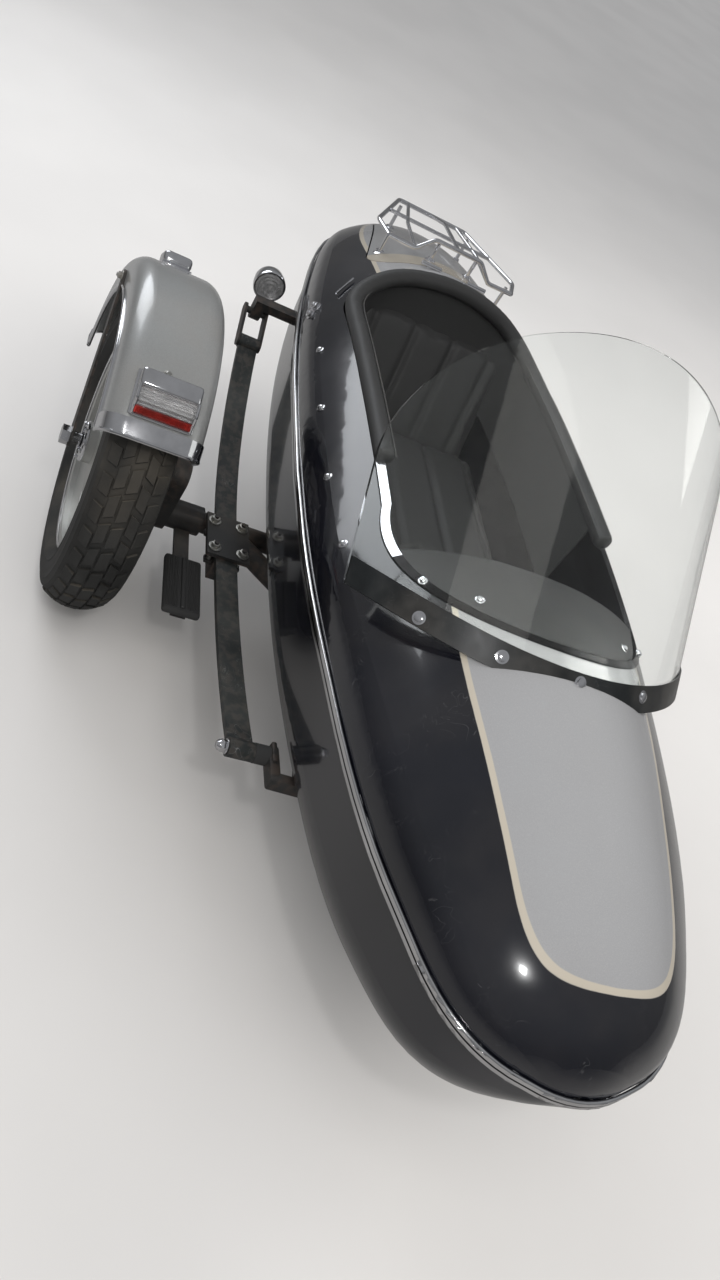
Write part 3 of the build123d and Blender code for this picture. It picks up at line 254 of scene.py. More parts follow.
@dataclass(frozen=True)
class SilverPanel:
    """Outline of the silver panel along the deck and of its pinstripe, in chassis metres."""

    half: float = 0.19
    nose: float = 1.182
    tail: float = -0.888
    corner: float = 0.15
    taper_start: float = 0.55
    taper_end: float = 1.2
    taper: tuple = ((0.0, 0.96), (0.22, 0.95), (0.57, 0.82), (0.74, 0.745), (0.87, 0.68), (1.0, 0.6))
    tail_half: float = 0.118
    tail_flare: float = 0.35
    tail_blend: float = 0.05
    lowest: float = 0.565
    pinstripe: float = 0.008
    edge: float = 0.0015

    def inside(self, graph: Graph, x: Socket, y: Socket) -> Socket:
        """How far inside the outline a point lies.

        Args:
            graph: The graph that the nodes go into.
            x: The point's X in the chassis frame.
            y: Its Y.

        Returns:
            The distance's socket.
        """
        share = graph.add("MapRange", {"Value": x, "From Min": self.taper_start, "From Max": self.taper_end})
        curve = graph.add("FloatCurve", {"Value": share.outputs[0]})
        first, *middle, last = self.taper
        line = curve.mapping.curves[0]
        for point in middle:
            line.points.new(*point)
        line.points[0].location = first
        line.points[-1].location = last
        curve.mapping.update()
        ahead = graph.math("SUBTRACT", self.nose, x)
        behind = graph.math("SUBTRACT", x, self.tail)
        half = graph.math("MULTIPLY", curve.outputs[0], self.half)
        flare = graph.math("MULTIPLY_ADD", behind, self.tail_flare, self.tail_half)
        half = graph.math("SMOOTH_MIN", half, flare, self.tail_blend)
        off = graph.math("ABSOLUTE", graph.math("SUBTRACT", y, BODY_Y))
        across = graph.math("SUBTRACT", half, off)
        return graph.math("SMOOTH_MIN", across, graph.math("MINIMUM", ahead, behind), self.corner)


PANEL = SilverPanel()
SCRATCH_WIDTH = 0.006
BAND_EDGE = 0.001
# Half width and soft edge of the painted shade in the moulding's groove.
GROOVE_SHADE_HALF = 0.0012
GROOVE_SHADE_EDGE = 0.002


class Effects:
    """The shared effects, each one node group."""

    @staticmethod
    def grain() -> bpy.types.NodeTree:
        """Slow tone and fine height of a painted, cast or moulded surface.

        Returns:
            The node group.
        """

        def fill(graph: Graph, inputs: dict[str, Socket]) -> tuple[Socket, ...]:
            """Two noises, the second many times finer.

            Args:
                graph: The group's graph.
                inputs: Its input sockets by name.

            Returns:
                The tone and the height.
            """
            slow = graph.add("TexNoise", {"Vector": graph.place(), "Scale": inputs["Scale"], "Detail": 5.0})
            fine_scale = graph.math("MULTIPLY", inputs["Scale"], inputs["Fineness"])
            fine = graph.add("TexNoise", {"Vector": graph.place(), "Scale": fine_scale, "Detail": 3.0})
            return slow.outputs[0], fine.outputs[0]

        return group("Grain", {"Scale": 8.0, "Fineness": 20.0}, ("Tone", "Height"), fill)

    @staticmethod
    def dust() -> bpy.types.NodeTree:
        """Mask of dust that settles on what faces up.

        Returns:
            The node group.
        """

        def fill(graph: Graph, inputs: dict[str, Socket]) -> tuple[Socket, ...]:
            """The upward part of the normal, broken up by noise.

            Args:
                graph: The group's graph.
                inputs: Its input sockets by name.

            Returns:
                The mask.
            """
            normal = graph.add("NewGeometry").outputs["Normal"]
            up = graph.ramp(graph.add("SeparateXYZ", {0: normal}).outputs[2], -0.2, 1.0)
            settings = {"Vector": graph.place(), "Scale": inputs["Scale"], "Detail": 8.0}
            patches = graph.add("TexNoise", settings)
            broken = graph.ramp(patches.outputs[0], 0.35, 0.75)
            return (graph.product(up, broken, inputs["Amount"]),)

        return group("Dust", {"Scale": 9.0, "Amount": 0.3}, ("Mask",), fill)

    @staticmethod
    def scratches() -> bpy.types.NodeTree:
        """Mask of thin, broken scratches.

        Returns:
            The node group.
        """

        def fill(graph: Graph, inputs: dict[str, Socket]) -> tuple[Socket, ...]:
            """The thin middle contour of a distorted noise, kept only in patches.

            Args:
                graph: The group's graph.
                inputs: Its input sockets by name.

            Returns:
                The mask.
            """
            lines = graph.add(
                "TexNoise",
                {"Vector": graph.place(), "Scale": inputs["Scale"], "Detail": 2.0, "Distortion": 1.6},
            )
            off = graph.math("ABSOLUTE", graph.math("SUBTRACT", lines.outputs[0], 0.5))
            thin = graph.ramp(off, 0.0, SCRATCH_WIDTH, 1.0, 0.0)
            patches = graph.add("TexNoise", {"Vector": graph.place(), "Scale": 11.0, "Detail": 4.0})
            kept = graph.ramp(patches.outputs[0], 0.5, 0.65)
            return (graph.product(thin, kept, inputs["Amount"]),)

        return group("Scratches", {"Scale": 24.0, "Amount": 0.5}, ("Mask",), fill)

    @staticmethod
    def pebble() -> bpy.types.NodeTree:
        """Height of the pebbled grain of vinyl and of moulded rubber.

        Returns:
            The node group.
        """

        def fill(graph: Graph, inputs: dict[str, Socket]) -> tuple[Socket, ...]:
            """Rounded cells with creases between them.

            Args:
                graph: The group's graph.
                inputs: Its input sockets by name.

            Returns:
                The height and the tone.
            """
            cells = graph.add(
                "TexVoronoi", {"Vector": graph.place(), "Scale": inputs["Scale"]}, feature="SMOOTH_F1"
            )
            folds = graph.add("TexNoise", {"Vector": graph.place(), "Scale": 38.0, "Detail": 4.0})
            height = graph.math("MULTIPLY_ADD", folds.outputs[0], 0.5, cells.outputs["Distance"])
            return height, folds.outputs[0]

        return group("Pebble", {"Scale": 420.0}, ("Height", "Tone"), fill)

    @staticmethod
    def edge_wear() -> bpy.types.NodeTree:
        """Mask of wear along raised edges.

        Returns:
            The node group.
        """

        def fill(graph: Graph, inputs: dict[str, Socket]) -> tuple[Socket, ...]:
            """Pointiness above its middle, broken up by noise.

            Args:
                graph: The group's graph.
                inputs: Its input sockets by name.

            Returns:
                The mask.
            """
            point = graph.add("NewGeometry").outputs["Pointiness"]
            raised = graph.ramp(point, 0.51, 0.6)
            patches = graph.add("TexNoise", {"Vector": graph.place(), "Scale": 60.0, "Detail": 5.0})
            broken = graph.ramp(patches.outputs[0], 0.42, 0.62)
            return (graph.product(raised, broken, inputs["Amount"]),)

        return group("Edge_Wear", {"Amount": 0.8}, ("Mask",), fill)

    @staticmethod
    def deck_panel() -> bpy.types.NodeTree:
        """Masks of the silver panel along the deck and of its pale pinstripe.

        Returns:
            The node group.
        """

        def fill(graph: Graph, inputs: dict[str, Socket]) -> tuple[Socket, ...]:
            """The panel, and the strip inside its edge, on what faces up.

            Args:
                graph: The group's graph.
                inputs: Its input sockets by name.

            Returns:
                The panel's mask and the pinstripe's.
            """
            x, y, z = graph.chassis_place().outputs
            inside = PANEL.inside(graph, x, y)
            raised = graph.math("GREATER_THAN", z, PANEL.lowest)
            panel = graph.math("MULTIPLY", graph.ramp(inside, 0.0, PANEL.edge), raised)
            within = graph.ramp(inside, PANEL.pinstripe, PANEL.pinstripe + PANEL.edge)
            return panel, graph.math("SUBTRACT", panel, graph.math("MULTIPLY", within, raised))

        return group("Deck_Panel", {}, ("Panel", "Border"), fill)

    @staticmethod
    def stripes() -> bpy.types.NodeTree:
        """Masks of one band along X and of the painted shade in one groove along Z.

        Returns:
            The node group.
        """

        def fill(graph: Graph, inputs: dict[str, Socket]) -> tuple[Socket, ...]:
            """Bands between two values of one coordinate each.

            Args:
                graph: The group's graph.
                inputs: Its input sockets by name.

            Returns:
                The band's mask and the mask of the groove's painted shade.
            """
            place = graph.chassis_place()
            start = inputs["Band start"]
            band = graph.ramp(place.outputs[0], start, graph.math("ADD", start, BAND_EDGE))
            off = graph.math("ABSOLUTE", graph.math("SUBTRACT", place.outputs[2], inputs["Groove height"]))
            # The second mask is painted shade: a dark line where the groove lies.
            return band, graph.ramp(off, GROOVE_SHADE_HALF, GROOVE_SHADE_EDGE, 1.0, 0.0)

        return group("Stripes", {"Band start": -0.545, "Groove height": 0.545}, ("Band", "Groove"), fill)


# Finishes


@dataclass(frozen=True)
class Finish:
    """A procedural material: a base shader with grain, dust, scratches and wear."""

    name: str
    colour: Colour
    roughness: float
    metallic: float = 0.0
    tone: float = 0.25
    tone_scale: float = 8.0
    fineness: float = 20.0
    bump: float = 0.0001
    rough_spread: float = 0.12
    dust: float = 0.12
    dust_colour: Colour = (0.33, 0.28, 0.23)
    scratches: float = 0.0
    scratch_colour: Colour = (0.4, 0.4, 0.4)
    wear: float = 0.0
    wear_colour: Colour = (0.35, 0.33, 0.3)
    coat: float = 0.0
    coat_roughness: float = 0.05
    ior: float = 1.5

    def paint(self, graph: Graph, base: Socket) -> Socket:
        """Colour socket after the marks that only this finish has."""
        return base

    def relief(self, graph: Graph, height: Socket) -> Socket:
        """Height socket after the relief that only this finish has."""
        return height

    def settle(self, graph: Graph, shader: bpy.types.Node) -> Socket:
        """Set what only this finish sets on the shader, and return the surface's socket."""
        return shader.outputs[0]

    def use(self, graph: Graph, tree: bpy.types.NodeTree, **values: float) -> bpy.types.Node:
        """Place one shared effect in this material with its own values.

        Args:
            graph: The material's graph.
            tree: The effect's node group.
            values: Its inputs that differ from their defaults.

        Returns:
            The group's node.
        """
        node = graph.add("Group", node_tree=tree)
        for key, value in values.items():
            node.inputs[key].default_value = value
        return node

    def build(self) -> bpy.types.Material:
        """Make the material once.

        Returns:
            The material.
        """
        if self.name in bpy.data.materials:
            return bpy.data.materials[self.name]
        material = bpy.data.materials.new(self.name)
        material.use_nodes = True
        material.node_tree.nodes.clear()
        material.diffuse_color = (*self.colour, 1)
        graph = Graph(material.node_tree)
        grain = self.use(graph, Effects.grain(), Scale=self.tone_scale, Fineness=self.fineness)
        spread = graph.ramp(grain.outputs["Tone"], 0.3, 0.7)
        dark = tuple(c * (1 - self.tone) for c in self.colour) + (1,)
        light = tuple(min(1, c * (1 + self.tone)) for c in self.colour) + (1,)
        base = self.paint(graph, graph.mix(spread, dark, light))
        rough = graph.math("MULTIPLY_ADD", spread, self.rough_spread, self.roughness - self.rough_spread / 2)
        if self.wear:
            wear = self.use(graph, Effects.edge_wear(), Amount=self.wear).outputs[0]
            base = graph.mix(wear, base, (*self.wear_colour, 1))
        if self.scratches:
            marks = self.use(graph, Effects.scratches(), Amount=self.scratches).outputs[0]
            base = graph.mix(marks, base, (*self.scratch_colour, 1))
            rough = graph.math("MULTIPLY_ADD", marks, 0.25, rough)
        dust = self.use(graph, Effects.dust(), Amount=self.dust).outputs[0]
        base = graph.mix(dust, base, (*self.dust_colour, 1))
        rough = graph.math("MULTIPLY_ADD", dust, 0.4, rough, clamp=True)
        height = self.relief(graph, grain.outputs["Height"])
        bump = graph.add("Bump", {"Height": height, "Distance": self.bump, "Strength": 1.0})
        shader = graph.add(
            "BsdfPrincipled",
            {
                "Base Color": base,
                "Roughness": rough,
                "Metallic": self.metallic,
                "IOR": self.ior,
                "Normal": bump.outputs[0],
                "Coat Weight": self.coat,
                "Coat Roughness": self.coat_roughness,
            },
        )
        surface = self.settle(graph, shader)
        graph.add("OutputMaterial", {"Surface": surface})
        return material


@dataclass(frozen=True)
class PanelPaint(Finish):
    """Dark deck paint with the silver panel and its pinstripe."""

    panel_colour: Colour = (0.3, 0.3, 0.305)
    flake_colour: Colour = (0.36, 0.36, 0.365)
    line_colour: Colour = (0.5, 0.45, 0.37)

    def paint(self, graph: Graph, base: Socket) -> Socket:
        """The panel first, and the pinstripe over its edge.

        Args:
            graph: The material's graph.
            base: The plain colour's socket.

        Returns:
            The colour's socket.
        """
        masks = self.use(graph, Effects.deck_panel())
        flakes = graph.add("TexVoronoi", {"Vector": graph.place(), "Scale": 900.0})
        silver = graph.mix(flakes.outputs["Distance"], (*self.panel_colour, 1), (*self.flake_colour, 1))
        base = graph.mix(masks.outputs["Panel"], base, silver)
        return graph.mix(masks.outputs["Border"], base, (*self.line_colour, 1))


@dataclass(frozen=True)
class FlakePaint(Finish):
    """Metallic paint whose flakes catch the light, with an optional pale band."""

    flake_colour: Colour = (0.42, 0.42, 0.43)
    band_start: float = 10.0
    band_colour: Colour = (0.5, 0.45, 0.37)

    def paint(self, graph: Graph, base: Socket) -> Socket:
        """Flakes over the base, and the band ahead of its start.

        Args:
            graph: The material's graph.
            base: The plain colour's socket.

        Returns:
            The colour's socket.
        """
        flakes = graph.add("TexVoronoi", {"Vector": graph.place(), "Scale": 1100.0})
        base = graph.mix(graph.ramp(flakes.outputs["Distance"], 0.0, 0.7), (*self.flake_colour, 1), base)
        band = self.use(graph, Effects.stripes(), **{"Band start": self.band_start}).outputs["Band"]
        return graph.mix(band, base, (*self.band_colour, 1))


@dataclass(frozen=True)
class GrooveShadedChrome(Finish):
    """Bright moulding with painted shade, a dark line, in the groove along its middle."""

    groove_height: float = 0.545

    def paint(self, graph: Graph, base: Socket) -> Socket:
        """Painted shade: dark in the groove."""
        groove = self.use(graph, Effects.stripes(), **{"Groove height": self.groove_height}).outputs["Groove"]
        # painted shade: the groove's darkness is put into the colour, not modelled
        return graph.mix(groove, base, (0.02, 0.02, 0.02, 1))


@dataclass(frozen=True)
class BoundChrome(Finish):
    """Bright edging that the flap's dark binding covers ahead of its start."""

    bound_start: float = 0.5
    bound_colour: Colour = (0.012, 0.012, 0.013)

    def paint(self, graph: Graph, base: Socket) -> Socket:
        """Dark where it is bound."""
        bound = self.use(graph, Effects.stripes(), **{"Band start": self.bound_start}).outputs["Band"]
        return graph.mix(bound, base, (*self.bound_colour, 1))


@dataclass(frozen=True)
class Pebbled(Finish):
    """Vinyl or moulded rubber with a pebbled grain."""

    pebble_scale: float = 420.0
    sheen: float = 0.0

    def relief(self, graph: Graph, height: Socket) -> Socket:
        """Pebbles and creases in place of the plain grain."""
        return self.use(graph, Effects.pebble(), Scale=self.pebble_scale).outputs["Height"]

    def settle(self, graph: Graph, shader: bpy.types.Node) -> Socket:
        """A weak sheen over the grain."""
        shader.inputs["Sheen Weight"].default_value = self.sheen
        return shader.outputs[0]


@dataclass(frozen=True)
class Clear(Finish):
    """Clear or tinted plastic that light passes through."""

    transmission: float = 1.0

    def settle(self, graph: Graph, shader: bpy.types.Node) -> Socket:
        """See-through also for shadows.

        Args:
            graph: The material's graph.
            shader: Its main shader.

        Returns:
            The surface's socket.
        """
        shader.inputs["Transmission Weight"].default_value = self.transmission
        shadow = graph.add("LightPath").outputs["Is Shadow Ray"]
        through = graph.add("BsdfTransparent", {0: (*(0.25 + 0.7 * c for c in self.colour), 1)})
        return graph.add("MixShader", {0: shadow, 1: shader.outputs[0], 2: through.outputs[0]}).outputs[0]


@dataclass(frozen=True)
class FloorPaint(Finish):
    """Studio floor that looks darker where a bright surface shows it."""

    mirrored: float = 0.4

    def paint(self, graph: Graph, base: Socket) -> Socket:
        """The colour for glossy rays, which is a share of the base."""
        darker = tuple(c * self.mirrored for c in self.colour) + (1,)
        return graph.mix(graph.mirror_ray(), base, darker)


class Finishes:
    """Every finish of the sidecar, by its place on it."""

    BODY = Finish(
        "body_black", (0.004, 0.0045, 0.008), 0.16, tone=0.3, tone_scale=3, bump=0.00002, dust=0.05,
        scratches=0.12, coat=1.0, rough_spread=0.1, dust_colour=(0.2, 0.17, 0.14),
    )
    DECK = PanelPaint(
        "deck_black_silver", (0.004, 0.0045, 0.008), 0.16, tone=0.3, tone_scale=3, bump=0.00002,
        dust=0.04, scratches=0.1, coat=1.0, rough_spread=0.1, dust_colour=(0.2, 0.17, 0.14),
    )
    LID = FlakePaint(
        "lid_silver", (0.3, 0.3, 0.3), 0.3, metallic=0.3, tone=0.08, tone_scale=4, bump=0.00002,
        dust=0.15, coat=1.0, band_start=-0.545,
    )
    FENDER = FlakePaint(
        "fender_silver", (0.3, 0.31, 0.305), 0.34, metallic=0.45, tone=0.08, tone_scale=5, bump=0.00002,
        dust=0.22, coat=1.0, coat_roughness=0.12,
    )
    CHROME = Finish(
        "chrome_trim", (0.82, 0.82, 0.84), 0.09, metallic=1.0, tone=0.06, tone_scale=30, bump=0.00001,
        dust=0.08, scratches=0.15, rough_spread=0.1,
    )
    EDGING = BoundChrome(
        "chrome_edging", (0.74, 0.74, 0.76), 0.12, metallic=1.0, tone=0.08, tone_scale=30, bump=0.00001,
        dust=0.06, scratches=0.15, rough_spread=0.1,
    )
    # Belt moulding; the shade in its groove is painted into its colour.
    BELT = GrooveShadedChrome(
        "chrome_belt", (0.8, 0.8, 0.81), 0.14, metallic=1.0, tone=0.08, tone_scale=20, bump=0.00002,
        dust=0.1, rough_spread=0.12,
    )
    ZINC = Finish(
        "zinc_plate", (0.55, 0.55, 0.52), 0.34, metallic=0.9, tone=0.25, tone_scale=60, bump=0.00005,
        dust=0.25, scratches=0.3, wear=0.4, wear_colour=(0.5, 0.42, 0.34),
    )
    FRAME = Finish(
        "frame_black", (0.016, 0.016, 0.016), 0.46, tone=0.4, tone_scale=14, bump=0.00012, dust=0.14,
        scratches=0.3, scratch_colour=(0.2, 0.17, 0.14), wear=0.22, wear_colour=(0.14, 0.09, 0.065),
    )
    SPRING = Finish(
        "spring_steel", (0.03, 0.034, 0.034), 0.5, metallic=0.2, tone=0.25, tone_scale=9, bump=0.00015,
        dust=0.3, dust_colour=(0.13, 0.13, 0.12), scratches=0.4, wear=0.25, wear_colour=(0.16, 0.13, 0.11),
    )
    ALLOY = Finish(
        "cast_alloy", (0.6, 0.57, 0.52), 0.34, metallic=0.9, tone=0.16, tone_scale=16, bump=0.0001,
        dust=0.2, scratches=0.2, dust_colour=(0.3, 0.25, 0.2),
    )
    STEEL = Finish(
        "disc_steel", (0.5, 0.5, 0.5), 0.28, metallic=1.0, tone=0.15, tone_scale=40, bump=0.00004,
        dust=0.1, scratches=0.5, scratch_colour=(0.25, 0.22, 0.2),
    )
    TYRE = Pebbled(
        "tyre_rubber", (0.022, 0.022, 0.021), 0.72, tone=0.3, tone_scale=10, bump=0.0002,
        pebble_scale=300, dust=0.38, dust_colour=(0.2, 0.17, 0.13),
    )
    RUBBER = Pebbled(
        "black_rubber", (0.03, 0.031, 0.03), 0.62, tone=0.3, tone_scale=16, bump=0.0002,
        pebble_scale=500, dust=0.4, dust_colour=(0.22, 0.21, 0.18),
    )
    VINYL = Pebbled(
        "black_vinyl", (0.014, 0.015, 0.016), 0.36, tone=0.2, tone_scale=6, bump=0.00022,
        pebble_scale=430, dust=0.08, sheen=0.1,
    )
    STITCH = Pebbled(
        "seam_thread", (0.05, 0.05, 0.05), 0.7, tone=0.3, tone_scale=90, bump=0.0002, pebble_scale=1500,
    )
    BOARD = Finish(
        "painted_board", (0.06, 0.055, 0.05), 0.7, tone=0.3, tone_scale=20, bump=0.0003, dust=0.3,
    )
    PLASTIC = Finish(
        "base_strip", (0.012, 0.014, 0.015), 0.34, tone=0.3, tone_scale=18, bump=0.00005, dust=0.14,
        scratches=0.35, scratch_colour=(0.1, 0.1, 0.1),
    )
    SHEET = Clear(
        "windshield_sheet", (0.93, 0.95, 0.94), 0.03, tone=0.02, tone_scale=3, bump=0.000002, dust=0.02,
        scratches=0.06, rough_spread=0.03, ior=1.3,
    )
    LENS = Clear(
        "clear_lens", (0.62, 0.62, 0.62), 0.08, tone=0.1, tone_scale=60, bump=0.00005, dust=0.06,
        rough_spread=0.06, transmission=0.85,
    )
    RED = Clear(
        "red_lens", (0.28, 0.02, 0.015), 0.1, tone=0.3, tone_scale=40, bump=0.00005, dust=0.05,
        rough_spread=0.05, transmission=0.5,
    )


# Shapes


def axes_at(place: Point, normal: Point, along: Optional[Point] = None) -> Matrix:
    """Matrix whose Z runs along a normal and whose X lies near a given direction.

    Args:
        place: The origin.
        normal: The direction of Z.
        along: A direction near that of X, which may be left out.

    Returns:
        The matrix.
    """
    z = Vector(normal).normalized()
    guide = Vector(along) if along else (Vector((1, 0, 0)) if abs(z.x) < 0.9 else Vector((0, 1, 0)))
    x = (guide - z * guide.dot(z)).normalized()
    return Matrix.Translation(place) @ Matrix((x, z.cross(x), z)).transposed().to_4x4()


def round_axle(angle: float, radius: float, y: float = 0.0) -> Vector:
    """Point at an angle in degrees up from forward and a radius round the axle."""
    return Vector((radius * cos(radians(angle)), y, AXLE_Z + radius * sin(radians(angle))))


class Shape:
    """A mesh in the making, in chassis metres."""

    def __init__(self) -> None:
        """Start with nothing."""
        self.bm = bmesh.new()

    def take(self, part: bmesh.types.BMesh, place: Optional[Matrix] = None) -> "Shape":
        """Move a part into place and make it one mesh with the rest.

        Args:
            part: The part, which is freed.
            place: Where it goes, or nothing where it is already there.

        Returns:
            This shape.
        """
        if place is not None:
            bmesh.ops.transform(part, matrix=place, verts=part.verts)
        bmesh.ops.recalc_face_normals(part, faces=part.faces)
        mesh = bpy.data.meshes.new("part")
        part.to_mesh(mesh)
        part.free()
        self.bm.from_mesh(mesh)
        bpy.data.meshes.remove(mesh)
        return self

    def box(self, size: Point, place: Matrix, bevel: float = 0.0, segments: int = 2) -> "Shape":
        """Add a box about its middle, with rounded edges.

        Args:
            size: Its three sides.
            place: Where its middle and axes go.
            bevel: The rounding's width.
            segments: The rounding's steps.

        Returns:
            This shape.
        """
        part = bmesh.new()
        bmesh.ops.create_cube(part, size=1.0)
        bmesh.ops.scale(part, vec=size, verts=part.verts)
        if bevel:
            bmesh.ops.bevel(
                part, geom=part.edges[:], offset=bevel, offset_type="OFFSET", affect="EDGES",
                segments=segments, profile=0.5, material=-1,
            )
        return self.take(part, place)

    def disc(self, radius: float, depth: float, place: Matrix, sides: int = 32,
             bevel: float = 0.0) -> "Shape":
        """Add a cylinder or prism that stands on its place along Z.

        Args:
            radius: Its radius.
            depth: Its height.
            place: Where its foot and axes go.
            sides: Its number of sides.
            bevel: The rounding of its end edges.

        Returns:
            This shape.
        """
        part = bmesh.new()
        bmesh.ops.create_cone(
            part, cap_ends=True, segments=sides, radius1=radius, radius2=radius, depth=depth,
            matrix=Matrix.Translation((0, 0, depth / 2)),
        )
        if bevel:
            rims = [e for e in part.edges if any(len(f.verts) > 4 for f in e.link_faces)]
            bmesh.ops.bevel(
                part, geom=rims, offset=bevel, offset_type="OFFSET", affect="EDGES", segments=2,
                profile=0.5, material=-1,
            )
        return self.take(part, place)

    def lathe(self, profile: Sequence[tuple[float, float]], place: Matrix, sides: int = 48) -> "Shape":
        """Add a shape turned about Z.

        Args:
            profile: Radius and height of its outline, from its foot to its top.
            place: Where its foot and axes go.
            sides: Its number of sides.

        Returns:
            This shape.
        """
        part = bmesh.new()
        points = [part.verts.new((radius, 0, height)) for radius, height in profile]
        edges = [part.edges.new(pair) for pair in zip(points, points[1:])]
        bmesh.ops.spin(
            part, geom=points + edges, cent=(0, 0, 0), axis=(0, 0, 1), dvec=(0, 0, 0), angle=2 * pi,
            steps=sides, use_merge=True, use_duplicate=False,
        )
        bmesh.ops.remove_doubles(part, verts=part.verts, dist=1e-5)
        return self.take(part, place)

    def arc(self, profile: Sequence[tuple[float, float]], start: float, end: float, steps: int) -> "Shape":
        """Add a solid swept round the axle.

        Args:
            profile: Y and radius of its closed outline.
            start: The angle it starts at, in degrees up from forward.
            end: The angle it ends at.
            steps: Its number of steps.

        Returns:
            This shape.
        """
        part = bmesh.new()
        face = part.faces.new([part.verts.new(round_axle(start, radius, y)) for y, radius in profile])
        bmesh.ops.spin(
            part, geom=[face, *face.edges, *face.verts], cent=(0, 0, AXLE_Z), axis=(0, -1, 0),
            dvec=(0, 0, 0), angle=radians(end - start), steps=steps, use_duplicate=False,
        )
        if abs(end - start) >= 360:
            bmesh.ops.remove_doubles(part, verts=part.verts, dist=1e-5)
        return self.take(part)

    @staticmethod
    def bent(corners: Sequence[Vector], bend: float) -> list[Vector]:
        """Path whose runs stay straight up to their corners' bends.

        Args:
            corners: The path's corners.
            bend: How far from a corner its bend starts.

        Returns:
            The path with a point at each end of every bend.
        """
        path = [corners[0]]
        for before, corner, after in zip(corners, corners[1:], corners[2:]):
            for near in (before, after):
                reach = min(bend, (near - corner).length * 0.45)
                path.append(corner + (near - corner).normalized() * reach)
            path.insert(-1, corner)
        return path + [corners[-1]]

    def tube(self, points: Sequence[Point], radius: float, bend: float = 0.0, sides: int = 6) -> "Shape":
        """Add a round bar along a smooth path.

        Args:
            points: The path's corners.
            radius: The bar's radius.
            bend: How far from a corner its bend starts; nothing gives one long curve.
            sides: Half of the bar's number of sides, roughly.

        Returns:
            This shape.
        """
        path = [Vector(p) for p in points]
        if bend:
            path = self.bent(path, bend)
        data = bpy.data.curves.new("path", "CURVE")
        data.dimensions = "3D"
        data.bevel_depth = radius
        data.bevel_resolution = sides
        data.use_fill_caps = True
        spline = data.splines.new("NURBS")
        spline.points.add(len(path) - 1)
        for point, corner in zip(spline.points, path):
            point.co = (*corner, 1)
        spline.order_u = 3
        spline.resolution_u = 8
        spline.use_endpoint_u = True
        item = bpy.data.objects.new("path", data)
        mesh = bpy.data.meshes.new_from_object(item)
        part = bmesh.new()
        part.from_mesh(mesh)
        bmesh.ops.remove_doubles(part, verts=part.verts, dist=1e-6)
        bpy.data.objects.remove(item)
        bpy.data.curves.remove(data)
        bpy.data.meshes.remove(mesh)
        return self.take(part)

    def cap(self, place: Matrix, size: float) -> "Shape":
        """Add a round-headed press stud on its washer.

        Args:
            place: Where its foot and axes go.
            size: Its radius.

        Returns:
            This shape.
        """
        profile = [(0, 0), (size, 0), (size, 0.0012), (size * 0.86, 0.0018), (size * 0.72, 0.0018),
                   (size * 0.68, 0.0042), (size * 0.45, 0.006), (0, 0.0066)]
        return self.lathe(profile, place, 24)

    def nut(self, place: Matrix, size: float, washer: float = 0.0) -> "Shape":
        """Add a hexagon nut on the end of its bolt, with a washer.

        Args:
            place: Where its foot and axes go.
            size: Its radius across corners.
            washer: The washer's radius, or nothing.

        Returns:
            This shape.
        """
        foot = 0.0
        if washer:
            self.disc(washer, 0.002, place, 28, 0.0004)
            foot = 0.002
        self.disc(size, size * 0.85, place @ Matrix.Translation((0, 0, foot)), 6, size * 0.08)
        return self.disc(size * 0.5, size * 1.25, place @ Matrix.Translation((0, 0, foot)), 16, size * 0.06)

    def map(self, move: Callable[[Vector], Point]) -> "Shape":
        """Move every point by a rule.

        Args:
            move: Gives a point's new place from its old one.

        Returns:
            This shape.
        """
        for vert in self.bm.verts:
            vert.co = move(vert.co)
        return self

    def mirrored(self) -> "Shape":
        """Add the same again on the other side of the body's middle plane.

        Returns:
            This shape.
        """
        part = self.bm.copy()
        bmesh.ops.scale(part, vec=(1, -1, 1), verts=part.verts)
        return self.take(part, Matrix.Translation((0, 2 * BODY_Y, 0)))

    def piece(self, name: str, finish: Finish, body: Body, slot: str, replaces: Iterable[str] = (),
              sharp: float = 35.0) -> bpy.types.Object:
        """Finish the shape as one piece of the sidecar.

        Args:
            name: The piece's name.
            finish: Its material.
            body: What it rides on.
            slot: The record's slot for its finish; not used.
            replaces: The CAD nodes that it stands for.
            sharp: The angle in degrees above which an edge stays sharp.

        Returns:
            The piece.
        """
        bmesh.ops.transform(self.bm, matrix=TO_ROW, verts=self.bm.verts)
        mesh = bpy.data.meshes.new(name)
        self.bm.to_mesh(mesh)
        self.bm.free()
        mesh.polygons.foreach_set("use_smooth", [True] * len(mesh.polygons))
        mesh.set_sharp_from_angle(angle=radians(sharp))
        mesh.materials.append(finish.build())
        item = bpy.data.objects.new(name, mesh)
        bpy.context.scene.collection.objects.link(item)
        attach(item, body.value)
        for node in replaces:
            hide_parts(node)
        LOG.info("%s: %d faces", name, len(mesh.polygons))
        return item


